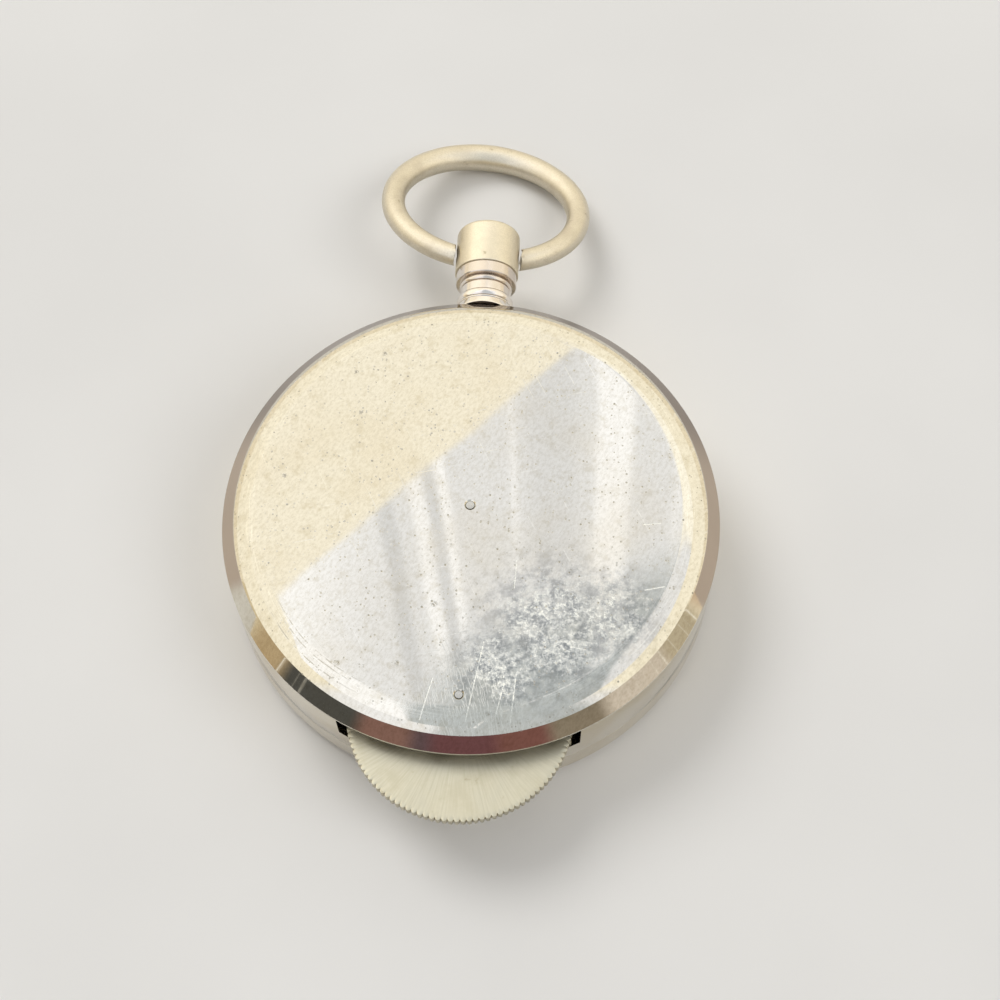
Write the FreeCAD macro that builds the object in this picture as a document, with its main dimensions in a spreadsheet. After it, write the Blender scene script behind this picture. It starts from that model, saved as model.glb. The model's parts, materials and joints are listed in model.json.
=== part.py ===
import FreeCAD, Part
import math
import os
import re

import Sketcher

# Opisometer: a pocket-watch shaped map measurer.
#
# The case lies on its bezel with its polished back upwards. +Z points out of the back, +Y points
# from the case towards the pendant and its bow, and the tracing wheel shows at the -Y side.
# Z = 0 is the bezel's rim. The origin lies under the middle of the whole outline, so the axis of
# the round case stands at Y = case_axis_y. All lengths are in millimetres.
#
# The wheel's arbor carries an eight-leaf pinion, the pinion drives a large gear on the centre
# arbor, and the centre arbor carries the pointer in front of the dial.

Vector = FreeCAD.Vector

DRIVING_SIZES = [
    # Case
    ("case_radius", 22.5, "radius of the band's wall"),
    ("case_height", 12.2, "from the bezel's rim to the flat back"),
    ("band_wall", 1.55, "from the band's wall to the bore that takes the cover and the plate"),
    ("bevel_width", 1.21, "from the band's wall to the foot of the cover's rounded shoulder"),
    ("shoulder_width", 2.3, "rounding of the cover's edge, across"),
    ("shoulder_drop", 0.84, "that rounding, down to the bevel"),
    ("cover_thickness", 0.6, "sheet of the flat back"),
    ("cover_corner", 0.5, "sloping corner between the flat and the skirt, inside"),
    ("cover_land", 0.25, "short wall of the cover below the bevel"),
    ("skirt_length", 0.5, "how far the cover's skirt goes into the bore"),
    ("skirt_wall", 0.5, "thickness of the skirt"),
    ("bevel_drop", 1.33, "height of the polished bevel around the cover"),
    ("bezel_height", 4.1, "from the rim to the joint with the band"),
    ("bezel_round", 1.6, "rounding of the bezel's front edge"),
    ("bezel_rim_width", 0.8, "flat rim that the case lies on"),
    ("window_slope", 0.6, "how far the bezel's lip narrows from the rim to the glass"),
    ("spigot_wall", 1.2, "thickness of that lip"),
    ("ledge_width", 0.65, "how far the lip stands inside the bore"),
    ("ledge_height", 3.9, "height of the face that carries the plate"),
    ("fit_gap", 0.03, "radial gap between pieces that fit into each other"),
    ("slot_clearance", 0.6, "room in the band's slot below the wheel and at its sides"),
    # Crystal
    ("crystal_margin", 0.9, "how far the glass reaches beyond the window"),
    ("crystal_thickness", 0.9, "thickness of the glass"),
    ("crystal_seat_height", 1.1, "height of the bezel's glass seat"),
    ("crystal_bulge", 0.75, "rise of the dome"),
    ("crystal_play", 0.3, "room between the glass and the band's lip"),
    # Plate, pillars and dial
    ("plate_thickness", 1.0, "front plate"),
    ("pillar_inset", 2.35, "from the bore in to the circle of pillars"),
    ("pillar_angle", 30, "degrees between each pillar and the case's cross line"),
    ("plate_notch_width", 3.6, "notch of the plate that passes the pendant screw"),
    ("plate_notch_depth", 1.5, "depth of that notch"),
    ("pillar_radius", 1.0, "pillar"),
    ("plate_screw_radius", 0.6, "thread of a plate screw"),
    ("plate_screw_reach", 2.4, "length of thread in a pillar"),
    ("plate_screw_head_radius", 1.0, "sunk head of a plate screw"),
    ("plate_screw_head", 0.5, "thickness of that head"),
    ("screw_slot_width", 0.3, "driver slot"),
    ("screw_slot_depth", 0.2, "driver slot"),
    ("dial_margin", 0.2, "room around the dial"),
    ("dial_thickness", 0.35, "dial"),
    ("dial_hole_radius", 1.6, "clear hole around the centre arbor"),
    ("dial_screw_place", 7.0, "distance of a dial screw from the centre"),
    ("dial_screw_radius", 0.45, "thread of a dial screw"),
    ("dial_screw_reach", 1.15, "thread below the head"),
    ("dial_screw_head_radius", 0.95, "head of a dial screw"),
    ("dial_screw_head", 0.35, "thickness of that head"),
    # Train
    ("wheel_inset", 3.05, "from the bore in to the wheel arbor"),
    ("gear_teeth", 128, "teeth of the centre gear"),
    ("pinion_leaves", 8, "leaves of the pinion"),
    ("gear_thickness", 0.6, "centre gear"),
    ("gear_rim_width", 2.4, "solid rim inside the teeth"),
    ("gear_spoke_width", 1.8, "spoke of the centre gear"),
    ("gear_spokes", 5, "spokes of the centre gear"),
    ("gear_bore_radius", 1.83, "bore of the centre gear"),
    ("gear_drop", 2.0, "from the cover's inner face down to the gear's lower face"),
    ("hub_flange_radius", 3.2, "flange that the gear is riveted to"),
    ("hub_flange_thickness", 0.4, "that flange"),
    ("hub_rivet_height", 0.7, "part of the hub above the gear"),
    ("pinion_overlap", 0.35, "how far the leaves pass each face of the gear"),
    ("pinion_collar_radius", 1.0, "plain collar below the leaves"),
    # Arbors and their bearings
    ("centre_pivot_radius", 0.375, "rear pivot of the centre arbor"),
    ("centre_journal_radius", 0.55, "front journal of the centre arbor"),
    ("centre_body_radius", 0.95, "thick part of the centre arbor"),
    ("hub_seat_radius", 0.8, "seat of the gear's hub"),
    ("washer_seat_radius", 0.6, "part behind the hub"),
    ("pointer_seat_radius", 0.35, "seat of the pointer's boss"),
    ("wheel_pivot_radius", 0.33, "rear pivot of the wheel arbor"),
    ("wheel_journal_radius", 0.35, "front journal of the wheel arbor"),
    ("wheel_body_radius", 0.75, "seat of the wheel's hub"),
    ("pinion_seat_radius", 0.42, "seat of the pinion"),
    ("pivot_recess", 0.08, "how far a pivot's end lies below the back"),
    ("end_shake", 0.05, "free play of an arbor along its axis"),
    ("oil_sink", 0.12, "chamfer around a pivot hole"),
    ("centre_bush_radius", 1.3, "bush of the centre arbor in the plate"),
    ("centre_bush_flange_radius", 2.1, "its flange"),
    ("wheel_bush_radius", 1.0, "bush of the wheel arbor in the plate"),
    ("wheel_bush_flange_radius", 1.7, "its flange"),
    ("bush_flange_thickness", 0.4, "flange of either bush"),
    ("washer_radius", 2.6, "dished washer behind the hub"),
    ("washer_thickness", 0.15, "sheet of that washer"),
    ("washer_rim_width", 0.5, "flat rim of that washer"),
    ("washer_play", 0.08, "radial play of that washer on the arbor"),
    # Tracing wheel
    ("tracing_radius", 9.95, "over the tips of the serrations"),
    ("tracing_thickness", 0.9, "tracing wheel"),
    ("tracing_depth", 4.05, "from the back down to the wheel's upper face"),
    ("tracing_teeth", 114, "serrations of the edge"),
    ("serration_depth", 0.22, "depth of a serration"),
    ("serration_land", 0.22, "width of the land between two serrations"),
    ("tracing_bore_radius", 1.83, "bore of the wheel"),
    ("wheel_flange_radius", 2.7, "flange that the wheel is riveted to"),
    ("wheel_flange_thickness", 0.6, "that flange"),
    ("wheel_rivet_height", 0.45, "part of the hub above the wheel"),
    # Pointer
    ("pointer_height", 2.3, "height of the pointer's front face"),
    ("pointer_thickness", 0.2, "pointer"),
    ("pointer_margin", 3.5, "from the tip to the dial's edge"),
    ("pointer_tail", 5.2, "from the centre to the tail's end"),
    ("pointer_root_width", 1.3, "width at the hub"),
    ("pointer_tip_width", 0.24, "width at the tip"),
    ("pointer_tail_width", 1.7, "width at the tail's end"),
    ("pointer_hub_radius", 1.5, "round hub of the pointer"),
    ("boss_radius", 0.75, "tube of the pointer's boss"),
    ("boss_flange_radius", 1.2, "its flange behind the pointer"),
    ("boss_length", 1.05, "pointer's boss"),
    # Pendant, measured along its own axis
    ("pendant_drop", 2.18, "from the cover's joint down to the pendant's axis"),
    ("stem_radius", 1.4, "stem in the band"),
    ("stem_stand", 0.2, "how far the stem stands into the bore"),
    ("neck_base_radius", 2.93, "flared foot on the case"),
    ("neck_base_length", 0.95, "foot outside the case"),
    ("neck_top_radius", 2.74, "narrow end of the foot"),
    ("neck_groove_radius", 2.3, "grooves of the neck"),
    ("neck_groove_width", 0.12, "each of those grooves"),
    ("lower_bead_radius", 2.58, "foot of the broad bead above the neck's foot"),
    ("lower_bead_width", 0.76, "that bead"),
    ("waist_radius", 2.48, "plain waist between the beads"),
    ("waist_width", 0.96, "that waist"),
    ("upper_bead_radius", 2.4, "foot of the bead under the collar"),
    ("upper_bead_width", 0.6, "that bead"),
    ("bead_bulge", 0.18, "how far the two beads are rounded outwards"),
    ("collar_radius", 2.97, "collar under the cap"),
    ("collar_width", 1.21, "that collar"),
    ("cap_radius", 3.11, "cap that carries the bow"),
    ("cap_length", 4.8, "cap"),
    ("cap_round", 0.5, "rounding of the cap's free end"),
    ("cap_turn", 6.2, "degrees by which the cap stops short of square"),
    ("pendant_screw_radius", 0.8, "screw that draws the cap onto the neck"),
    ("pendant_screw_reach", 1.9, "its thread in the cap"),
    ("pendant_screw_head_radius", 1.4, "its head inside the case"),
    ("pendant_screw_head", 0.9, "thickness of that head"),
    ("pendant_slot_width", 0.45, "its driver slot"),
    ("pendant_slot_depth", 0.35, "its driver slot"),
    # Bow
    ("bow_pivot_place", 2.21, "from the cap's near end to the bow's pins"),
    ("bow_half_width", 9.52, "centre line of the slightly oval ring, across the pendant"),
    ("bow_half_length", 9.15, "that line, along the pendant"),
    ("bow_aside", 0.3, "the ring stands this far to the left of its pins' middle"),
    ("bow_top_wire", 1.38, "wire radius at the far end"),
    ("bow_end_wire", 1.03, "wire radius at the pins"),
    ("bow_end_gap", 0.2, "between the bow's flat ends and the cap"),
    ("bow_pin_radius", 0.6, "pins of the bow"),
    ("bow_pin_reach", 1.15, "how far a pin goes into the cap"),
    ("pin_hole_gap", 0.04, "radial play of a pin, and at its end"),
    ("bow_rest_gap", 0.02, "between the hanging bow and the plane of the rim"),
]

# Heights and places that follow from the sizes above. Names without a sheet are in this list.
DERIVED_PLACES = [
    ("case_bore_radius", "Sizes.case_radius - Sizes.band_wall"),
    ("cover_radius", "Sizes.case_radius - Sizes.bevel_width"),
    ("bevel_top_height", "Sizes.case_height - Sizes.shoulder_drop"),
    ("cover_inner_height", "Sizes.case_height - Sizes.cover_thickness"),
    ("cover_skirt_radius", "case_bore_radius - Sizes.fit_gap"),
    ("cover_flat_radius", "cover_radius - Sizes.shoulder_width"),
    ("shoulder_round", "(Sizes.shoulder_width ^ 2 + Sizes.shoulder_drop ^ 2)"
                       " / 2 / Sizes.shoulder_drop"),
    ("bevel_foot_height", "bevel_top_height - Sizes.bevel_drop"),
    ("joint_height", "bevel_foot_height - Sizes.cover_land"),
    ("skirt_foot_height", "joint_height - Sizes.skirt_length"),
    ("ledge_bore_radius", "case_bore_radius - Sizes.ledge_width"),
    ("spigot_radius", "ledge_bore_radius + Sizes.spigot_wall"),
    ("rim_outer_radius", "Sizes.case_radius - Sizes.bezel_round"),
    ("rim_inner_radius", "rim_outer_radius - Sizes.bezel_rim_width"),
    ("window_radius", "rim_inner_radius - Sizes.window_slope"),
    ("crystal_radius", "window_radius + Sizes.crystal_margin"),
    ("glass_bore_radius", "crystal_radius + 2 * Sizes.fit_gap"),
    ("crystal_land_radius", "window_radius - 2 * Sizes.fit_gap"),
    ("crystal_back_height", "Sizes.crystal_seat_height + Sizes.crystal_thickness"),
    ("spigot_end_height", "crystal_back_height + Sizes.crystal_play"),
    ("glass_groove_height", "spigot_end_height - 2 * Sizes.fit_gap"),
    ("crystal_low_height", "Sizes.crystal_seat_height - Sizes.crystal_bulge"),
    ("crystal_hollow_height", "crystal_back_height - Sizes.crystal_bulge"),
    ("dome_radius", "(crystal_land_radius ^ 2 + Sizes.crystal_bulge ^ 2) / 2 / Sizes.crystal_bulge"),
    ("plate_radius", "case_bore_radius - 2 * Sizes.fit_gap"),
    ("plate_back_height", "Sizes.ledge_height + Sizes.plate_thickness"),
    ("pillar_length", "cover_inner_height - plate_back_height"),
    ("pillar_circle", "case_bore_radius - Sizes.pillar_inset"),
    ("pillar_across", "pillar_circle * cos(Sizes.pillar_angle)"),
    ("pillar_along", "pillar_circle * sin(Sizes.pillar_angle)"),
    ("dial_radius", "ledge_bore_radius - Sizes.dial_margin"),
    ("dial_face_height", "Sizes.ledge_height - Sizes.dial_thickness"),
    ("bush_face_height", "plate_back_height + Sizes.bush_flange_thickness"),
    ("arbor_shoulder_height", "bush_face_height + Sizes.end_shake"),
    ("centre_distance", "case_bore_radius - Sizes.wheel_inset"),
    ("gear_height", "cover_inner_height - Sizes.gear_drop"),
    ("hub_foot_height", "gear_height - Sizes.hub_flange_thickness"),
    ("gear_back_height", "gear_height + Sizes.gear_thickness"),
    ("hub_top_height", "gear_back_height + Sizes.hub_rivet_height"),
    ("washer_foot_height", "hub_top_height + Sizes.end_shake"),
    ("washer_rim_height", "cover_inner_height - Sizes.washer_thickness"),
    ("pivot_shoulder_height", "cover_inner_height - Sizes.end_shake"),
    ("pivot_end_height", "Sizes.case_height - Sizes.pivot_recess"),
    ("tracing_top_height", "Sizes.case_height - Sizes.tracing_depth"),
    ("tracing_low_height", "tracing_top_height - Sizes.tracing_thickness"),
    ("wheel_flange_height", "tracing_low_height - Sizes.wheel_flange_thickness"),
    ("wheel_hub_height", "tracing_top_height + Sizes.wheel_rivet_height"),
    ("pinion_low_height", "gear_height - Sizes.pinion_overlap"),
    ("pinion_top_height", "gear_back_height + Sizes.pinion_overlap"),
    ("slot_floor_height", "tracing_low_height - Sizes.slot_clearance"),
    ("slot_half_width", "Sizes.tracing_radius + Sizes.slot_clearance"),
    ("pointer_length", "dial_radius - Sizes.pointer_margin"),
    ("pointer_back_height", "Sizes.pointer_height + Sizes.pointer_thickness"),
    ("boss_front_height", "pointer_back_height - Sizes.boss_length / 2"),
    ("boss_back_height", "boss_front_height + Sizes.boss_length"),
    ("half_tip", "Sizes.pointer_tip_width / 2"),
    ("half_root", "Sizes.pointer_root_width / 2"),
    ("half_tail", "Sizes.pointer_tail_width / 2"),
    ("pendant_height", "joint_height - Sizes.pendant_drop"),
    ("stem_length", "Sizes.band_wall + Sizes.stem_stand"),
    ("stem_start", "Sizes.case_radius - stem_length"),
    ("base_length", "stem_length + Sizes.neck_base_length"),
    ("lower_bead_start", "base_length + Sizes.neck_groove_width"),
    ("lower_bead_round", "(Sizes.lower_bead_width ^ 2 / 4 + Sizes.bead_bulge ^ 2)"
                         " / 2 / Sizes.bead_bulge"),
    ("upper_bead_round", "(Sizes.upper_bead_width ^ 2 / 4 + Sizes.bead_bulge ^ 2)"
                         " / 2 / Sizes.bead_bulge"),
    ("waist_start", "lower_bead_start + Sizes.lower_bead_width"),
    ("waist_end", "waist_start + Sizes.waist_width"),
    ("upper_bead_start", "waist_end + Sizes.neck_groove_width"),
    ("collar_start", "upper_bead_start + Sizes.upper_bead_width"),
    ("neck_length", "collar_start + Sizes.collar_width"),
    ("cap_start", "stem_start + neck_length"),
    ("bow_pivot_along", "cap_start + Sizes.bow_pivot_place"),
    ("pin_hole_bottom", "Sizes.cap_radius - Sizes.bow_pin_reach - Sizes.pin_hole_gap"),
    ("bow_half_span", "Sizes.cap_radius + Sizes.bow_end_gap"),
    ("bow_flank", "Sizes.bow_half_length * bow_half_span / Sizes.bow_half_width"),
    ("bow_centre", "sqrt(Sizes.bow_half_length ^ 2 - bow_flank ^ 2)"),
    # The hanging bow leans until the lowest point of its turned ring meets the plane of the rim.
    ("bow_drop", "pendant_height - Sizes.bow_top_wire - Sizes.bow_rest_gap"
                 " + Sizes.bow_aside * sin(Sizes.cap_turn)"),
    ("bow_side_drop", "Sizes.bow_half_width * sin(Sizes.cap_turn)"),
    ("bow_slope", "(sqrt((bow_drop * bow_centre) ^ 2"
                  " + bow_flank ^ 2 * (bow_drop ^ 2 - bow_side_drop ^ 2))"
                  " - bow_drop * bow_centre) / bow_flank ^ 2"),
    ("bow_reach", "(bow_centre + Sizes.bow_half_length)"
                  " * sqrt(1 - (bow_slope / cos(Sizes.cap_turn)) ^ 2)"),
    ("wheel_far", "centre_distance + Sizes.tracing_radius"),
    ("bow_far", "bow_pivot_along + bow_reach + Sizes.bow_top_wire"),
    ("case_axis_y", "(wheel_far - bow_far) / 2"),
    ("wheel_axis_y", "case_axis_y - centre_distance"),
]

DRIVING_NAMES = {name for name, size, note in DRIVING_SIZES}
DERIVED_NAMES = {name for name, formula in DERIVED_PLACES}

doc = FreeCAD.newDocument("opisometer")
sub_parts = []


# ---------------------------------------------------------------- sheets and formulas

def fill_sheets():
    """Write the driving sizes as plain numbers and the places as formulas."""
    sizes = doc.addObject("Spreadsheet::Sheet", "Sizes")
    for row, (name, size, note) in enumerate(DRIVING_SIZES, start=1):
        sizes.set(f"A{row}", name)
        sizes.set(f"B{row}", str(size))
        sizes.set(f"C{row}", note)
        sizes.setAlias(f"B{row}", name)
    places = doc.addObject("Spreadsheet::Sheet", "Places")
    for row, (name, formula) in enumerate(DERIVED_PLACES, start=1):
        places.set(f"A{row}", name)
        places.setAlias(f"B{row}", name)
    for row, (name, formula) in enumerate(DERIVED_PLACES, start=1):
        places.set(f"B{row}", "=" + formula)
    doc.recompute()
    return sizes, places


def value(name):
    """Return the number behind a name of either sheet."""
    return float(getattr(sizes if name in DRIVING_NAMES else places, name))


def count(name):
    """Return the whole number nearest to a size that counts copies."""
    return round(value(name))


def number(formula):
    """Return the value of a sum or difference of sheet names and plain numbers."""
    total = 0.0
    for sign, term in re.findall(r"([+-]?)\s*([\w.]+)", formula):
        known = term in DRIVING_NAMES or term in DERIVED_NAMES
        amount = value(term) if known else float(term)
        total += -amount if sign == "-" else amount
    return total


def bound(formula):
    """Return the formula with its sheet before each name, as an expression needs it."""
    def with_sheet(match):
        name = match.group(0)
        if name in DRIVING_NAMES:
            return "Sizes." + name
        return "Places." + name if name in DERIVED_NAMES else name
    return re.sub(r"[A-Za-z_]\w*", with_sheet, formula)


def bind(thing, **formulas):
    """Bind properties of a document object to the sheets."""
    for name, formula in formulas.items():
        thing.setExpression(name, bound(formula))
    return thing


# ---------------------------------------------------------------- placing

UPRIGHT = FreeCAD.Rotation()
ALONG_Y = FreeCAD.Rotation(Vector(1, 0, 0), -90)
ALONG_X = FreeCAD.Rotation(Vector(0, 1, 0), 90)
AGAINST_X = FreeCAD.Rotation(Vector(0, 1, 0), -90)


def place(thing, across="0", along="0", up="0", turn=UPRIGHT):
    """Turn an object, then bind its place to the sheets."""
    thing.Placement = FreeCAD.Placement(Vector(number(across), number(along), number(up)), turn)
    for axis, formula in zip("xyz", (across, along, up)):
        thing.setExpression(f"Placement.Base.{axis}", bound(formula))
    return thing


def hand_over(thing, label, along="case_axis_y", up="0", turn=UPRIGHT):
    """Name a finished sub-part, put it in the frame and list it for writing."""
    thing.Label = label
    place(thing, along=along, up=up, turn=turn)
    sub_parts.append(thing)
    return thing


# ---------------------------------------------------------------- sketches and turned pieces

def arc_between(start, end, radius, side):
    """Return the minor arc from start to end that bulges to the left (1) or right (-1)."""
    chord = end - start
    left = Vector(-chord.y, chord.x, 0).normalize()
    sagitta = radius - math.sqrt(max(radius ** 2 - chord.Length ** 2 / 4, 0.0))
    return Part.Arc(start, (start + end) / 2 + left * sagitta * side, end)


def pin_point(sketch, piece, end, kind, formula):
    """Hold one coordinate of a sketch point at a sheet formula, or on the axis for 0."""
    if formula == "0":
        axis = -2 if kind == "DistanceX" else -1
        sketch.addConstraint(Sketcher.Constraint("PointOnObject", piece, end, axis))
        return
    if formula.startswith("-"):
        formula = formula[1:]
        rule = Sketcher.Constraint(kind, piece, end, -1, 1, number(formula))
    else:
        rule = Sketcher.Constraint(kind, -1, 1, piece, end, number(formula))
    index = sketch.addConstraint(rule)
    sketch.setExpression(f"Constraints[{index}]", bound(formula))


def new_sketch(body, role):
    """Start a sketch on one of the body's own origin planes."""
    sketch = body.newObject("Sketcher::SketchObject", body.Name + "_sketch")
    planes = [plane for plane in body.Origin.OriginFeatures if plane.Role == role]
    sketch.AttachmentSupport = (planes[0], "")
    sketch.MapMode = "FlatFace"
    return sketch


def draw_outline(sketch, corners):
    """Draw a closed outline: a corner is (across, up) or (across, up, arc radius, side)."""
    points = [Vector(number(corner[0]), number(corner[1]), 0) for corner in corners]
    ends = []
    for index, corner in enumerate(corners):
        start = points[index]
        end = points[(index + 1) % len(points)]
        if len(corner) == 2:
            sketch.addGeometry(Part.LineSegment(start, end), False)
            ends.append((1, 2))
            continue
        sketch.addGeometry(arc_between(start, end, number(corner[2]), corner[3]), False)
        starts_here = sketch.getPoint(index, 1).distanceToPoint(start) < 1e-6
        ends.append((1, 2) if starts_here else (2, 1))
        rule = sketch.addConstraint(Sketcher.Constraint("Radius", index, number(corner[2])))
        sketch.setExpression(f"Constraints[{rule}]", bound(corner[2]))
    for index, corner in enumerate(corners):
        after = (index + 1) % len(corners)
        sketch.addConstraint(Sketcher.Constraint("Coincident", index, ends[index][1],
                                                 after, ends[after][0]))
        pin_point(sketch, index, ends[index][0], "DistanceX", corner[0])
        pin_point(sketch, index, ends[index][0], "DistanceY", corner[1])


def draw_circles(sketch, circles):
    """Draw circles, each given as (across, along, radius)."""
    for across, along, radius in circles:
        centre = Vector(number(across), number(along), 0)
        piece = sketch.addGeometry(Part.Circle(centre, Vector(0, 0, 1), number(radius)), False)
        pin_point(sketch, piece, 3, "DistanceX", across)
        pin_point(sketch, piece, 3, "DistanceY", along)
        rule = sketch.addConstraint(Sketcher.Constraint("Radius", piece, number(radius)))
        sketch.setExpression(f"Constraints[{rule}]", bound(radius))


def turned(name, corners):
    """Turn an outline of (radius, height) corners about the Z axis."""
    body = doc.addObject("PartDesign::Body", name)
    sketch = new_sketch(body, "XZ_Plane")
    draw_outline(sketch, corners)
    turning = body.newObject("PartDesign::Revolution", name + "_turning")
    turning.Profile = sketch
    turning.ReferenceAxis = (sketch, ["V_Axis"])
    turning.Angle = 360
    return body


def disc(name, radius, thickness):
    """Pad a round disc upwards from Z = 0."""
    body = doc.addObject("PartDesign::Body", name)
    sketch = new_sketch(body, "XY_Plane")
    draw_circles(sketch, [("0", "0", radius)])
    pad = body.newObject("PartDesign::Pad", name + "_pad")
    pad.Profile = sketch
    bind(pad, Length=thickness)
    return body


def drill(body, circles, depth):
    """Cut round holes upwards from the body's XY plane."""
    sketch = new_sketch(body, "XY_Plane")
    draw_circles(sketch, circles)
    pocket = body.newObject("PartDesign::Pocket", body.Name + "_holes")
    pocket.Profile = sketch
    pocket.Reversed = True
    bind(pocket, Length=depth)
    return body


# ---------------------------------------------------------------- primitives and booleans

def cylinder(name, radius, height):
    """Make a cylinder that stands on Z = 0."""
    return bind(doc.addObject("Part::Cylinder", name), Radius=radius, Height=height)


def block(name, length, width, height):
    """Make a box with one corner at the origin."""
    return bind(doc.addObject("Part::Box", name), Length=length, Width=width, Height=height)


def cut(name, base, tool):
    """Take the tool away from the base."""
    result = doc.addObject("Part::Cut", name)
    result.Base = base
    result.Tool = tool
    return result


def fuse(name, pieces):
    """Join pieces, or gather them where they lie apart."""
    result = doc.addObject("Part::MultiFuse", name)
    result.Shapes = pieces
    return result


def slotted_screw(name, head_radius, head, shank_radius, reach, slot_width, slot_depth):
    """Make a screw whose slotted head stands on Z = 0 and whose shank points upwards."""
    head_disc = cylinder(name + "_head", head_radius, head)
    shank = cylinder(name + "_shank", shank_radius, f"{head} + {reach}")
    slot = block(name + "_slot", f"2 * {head_radius}", slot_width, slot_depth)
    bind(slot, **{"Placement.Base.x": f"0 - {head_radius}", "Placement.Base.y": f"0 - {slot_width} / 2"})
    return cut(name, fuse(name + "_blank", [head_disc, shank]), slot)


# ---------------------------------------------------------------- case

def make_rear_cover():
    """Flat polished back with a rounded shoulder, a bevel, a skirt and the rear pivot holes."""
    inner_radius = "cover_skirt_radius - skirt_wall"
    body = turned("rear_cover", [
        ("0", "cover_inner_height"),
        (inner_radius + " - cover_corner", "cover_inner_height"),
        (inner_radius, "cover_inner_height - cover_corner"),
        (inner_radius, "skirt_foot_height"),
        ("cover_skirt_radius", "skirt_foot_height"),
        ("cover_skirt_radius", "joint_height"),
        ("case_radius", "joint_height"),
        ("case_radius", "bevel_foot_height"),
        ("cover_radius", "bevel_top_height", "shoulder_round", -1),
        ("cover_flat_radius", "case_height"),
        ("0", "case_height"),
    ])
    drill(body, [
        ("0", "0", "centre_pivot_radius + fit_gap"),
        ("0", "-centre_distance", "wheel_pivot_radius + fit_gap"),
    ], "case_height")
    doc.recompute()
    drilled = body.Tip
    sinks = body.newObject("PartDesign::Chamfer", "rear_cover_sinks")
    sinks.Base = (drilled, pivot_hole_edges(drilled.Shape))
    bind(sinks, Size="oil_sink")
    return hand_over(body, "rear_cover")


def pivot_hole_edges(shape):
    """Return the names of the small round edges on the outer face of the cover."""
    names = []
    for index, edge in enumerate(shape.Edges, start=1):
        on_top = edge.BoundBox.ZMin > value("case_height") - 1e-4
        if on_top and edge.Length < 2 * math.pi * 2 * value("centre_pivot_radius"):
            names.append(f"Edge{index}")
    return names


def make_case_band():
    """Wall with the plate's ledge, the wheel's slot under the cover and the stem's hole."""
    body = turned("band_blank", [
        ("ledge_bore_radius", "spigot_end_height"),
        ("spigot_radius", "spigot_end_height"),
        ("spigot_radius", "bezel_height"),
        ("case_radius", "bezel_height"),
        ("case_radius", "joint_height"),
        ("case_bore_radius", "joint_height"),
        ("case_bore_radius", "ledge_height"),
        ("ledge_bore_radius", "ledge_height"),
    ])
    slot = block("wheel_slot", "2 * slot_half_width",
                 "case_radius + fit_gap - centre_distance + slot_clearance",
                 "joint_height + fit_gap - slot_floor_height")
    place(slot, across="0 - slot_half_width", along="0 - case_radius - fit_gap",
          up="slot_floor_height")
    stem_hole = cylinder("stem_hole", "stem_radius + fit_gap", "case_radius")
    place(stem_hole, along="stem_start", up="pendant_height", turn=ALONG_Y)
    return hand_over(cut("case_band", body, fuse("band_openings", [slot, stem_hole])), "case_band")


def make_front_bezel():
    """Snap-on ring that holds the glass; its flat rim is what the case lies on."""
    body = turned("front_bezel", [
        ("rim_inner_radius", "0"),
        ("rim_outer_radius", "0", "bezel_round", -1),
        ("case_radius", "bezel_round"),
        ("case_radius", "bezel_height"),
        ("spigot_radius + fit_gap", "bezel_height"),
        ("spigot_radius + fit_gap", "glass_groove_height"),
        ("glass_bore_radius", "glass_groove_height"),
        ("glass_bore_radius", "crystal_seat_height"),
        ("window_radius", "crystal_seat_height"),
    ])
    return hand_over(body, "front_bezel")


def make_crystal():
    """Low domed glass, flat at its edge where it sits in the bezel."""
    body = turned("crystal", [
        ("0", "crystal_low_height", "dome_radius", -1),
        ("crystal_land_radius", "crystal_seat_height"),
        ("crystal_radius", "crystal_seat_height"),
        ("crystal_radius", "crystal_back_height"),
        ("crystal_land_radius", "crystal_back_height", "dome_radius", 1),
        ("0", "crystal_hollow_height"),
    ])
    return hand_over(body, "crystal")


# ---------------------------------------------------------------- plate, pillars and dial

PILLAR_PLACES = [(across, along) for across in ("-pillar_across", "pillar_across")
                 for along in ("-pillar_along", "pillar_along")]
DIAL_SCREW_SIDES = ["-dial_screw_place", "dial_screw_place"]


def make_front_plate():
    """Plate that carries both front bushes and, on its other face, the dial."""
    body = disc("plate_blank", "plate_radius", "plate_thickness")
    holes = [("0", "0", "centre_bush_radius + fit_gap"),
             ("0", "-centre_distance", "wheel_bush_radius + fit_gap")]
    holes += [(across, along, "plate_screw_radius + fit_gap") for across, along in PILLAR_PLACES]
    holes += [(side, "0", "dial_screw_radius + fit_gap") for side in DIAL_SCREW_SIDES]
    drill(body, holes, "plate_thickness")
    drill(body, [(across, along, "plate_screw_head_radius + fit_gap")
                 for across, along in PILLAR_PLACES], "plate_screw_head")
    notch = block("plate_notch", "plate_notch_width", "2 * plate_notch_depth", "plate_thickness")
    bind(notch, **{"Placement.Base.x": "0 - plate_notch_width / 2",
                   "Placement.Base.y": "plate_radius - plate_notch_depth"})
    return hand_over(cut("plate_notched", body, notch), "front_plate", up="ledge_height")


def make_plate_pillars():
    """Four posts between the plate and the cover, each tapped for a plate screw."""
    pillars = []
    for index, (across, along) in enumerate(PILLAR_PLACES, start=1):
        post = cylinder(f"pillar_post_{index}", "pillar_radius", "pillar_length")
        thread = cylinder(f"pillar_thread_{index}", "plate_screw_radius + fit_gap",
                          "plate_screw_reach")
        pillar = cut(f"pillar_{index}", post, thread)
        pillars.append(place(pillar, across=signed(across), along=signed(along),
                             up="plate_back_height"))
    return hand_over(fuse("plate_pillars", pillars), "plate_pillars")


def signed(formula):
    """Write a leading minus as a difference, so that it can stand in any sum."""
    return "0 - " + formula[1:] if formula.startswith("-") else formula


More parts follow.
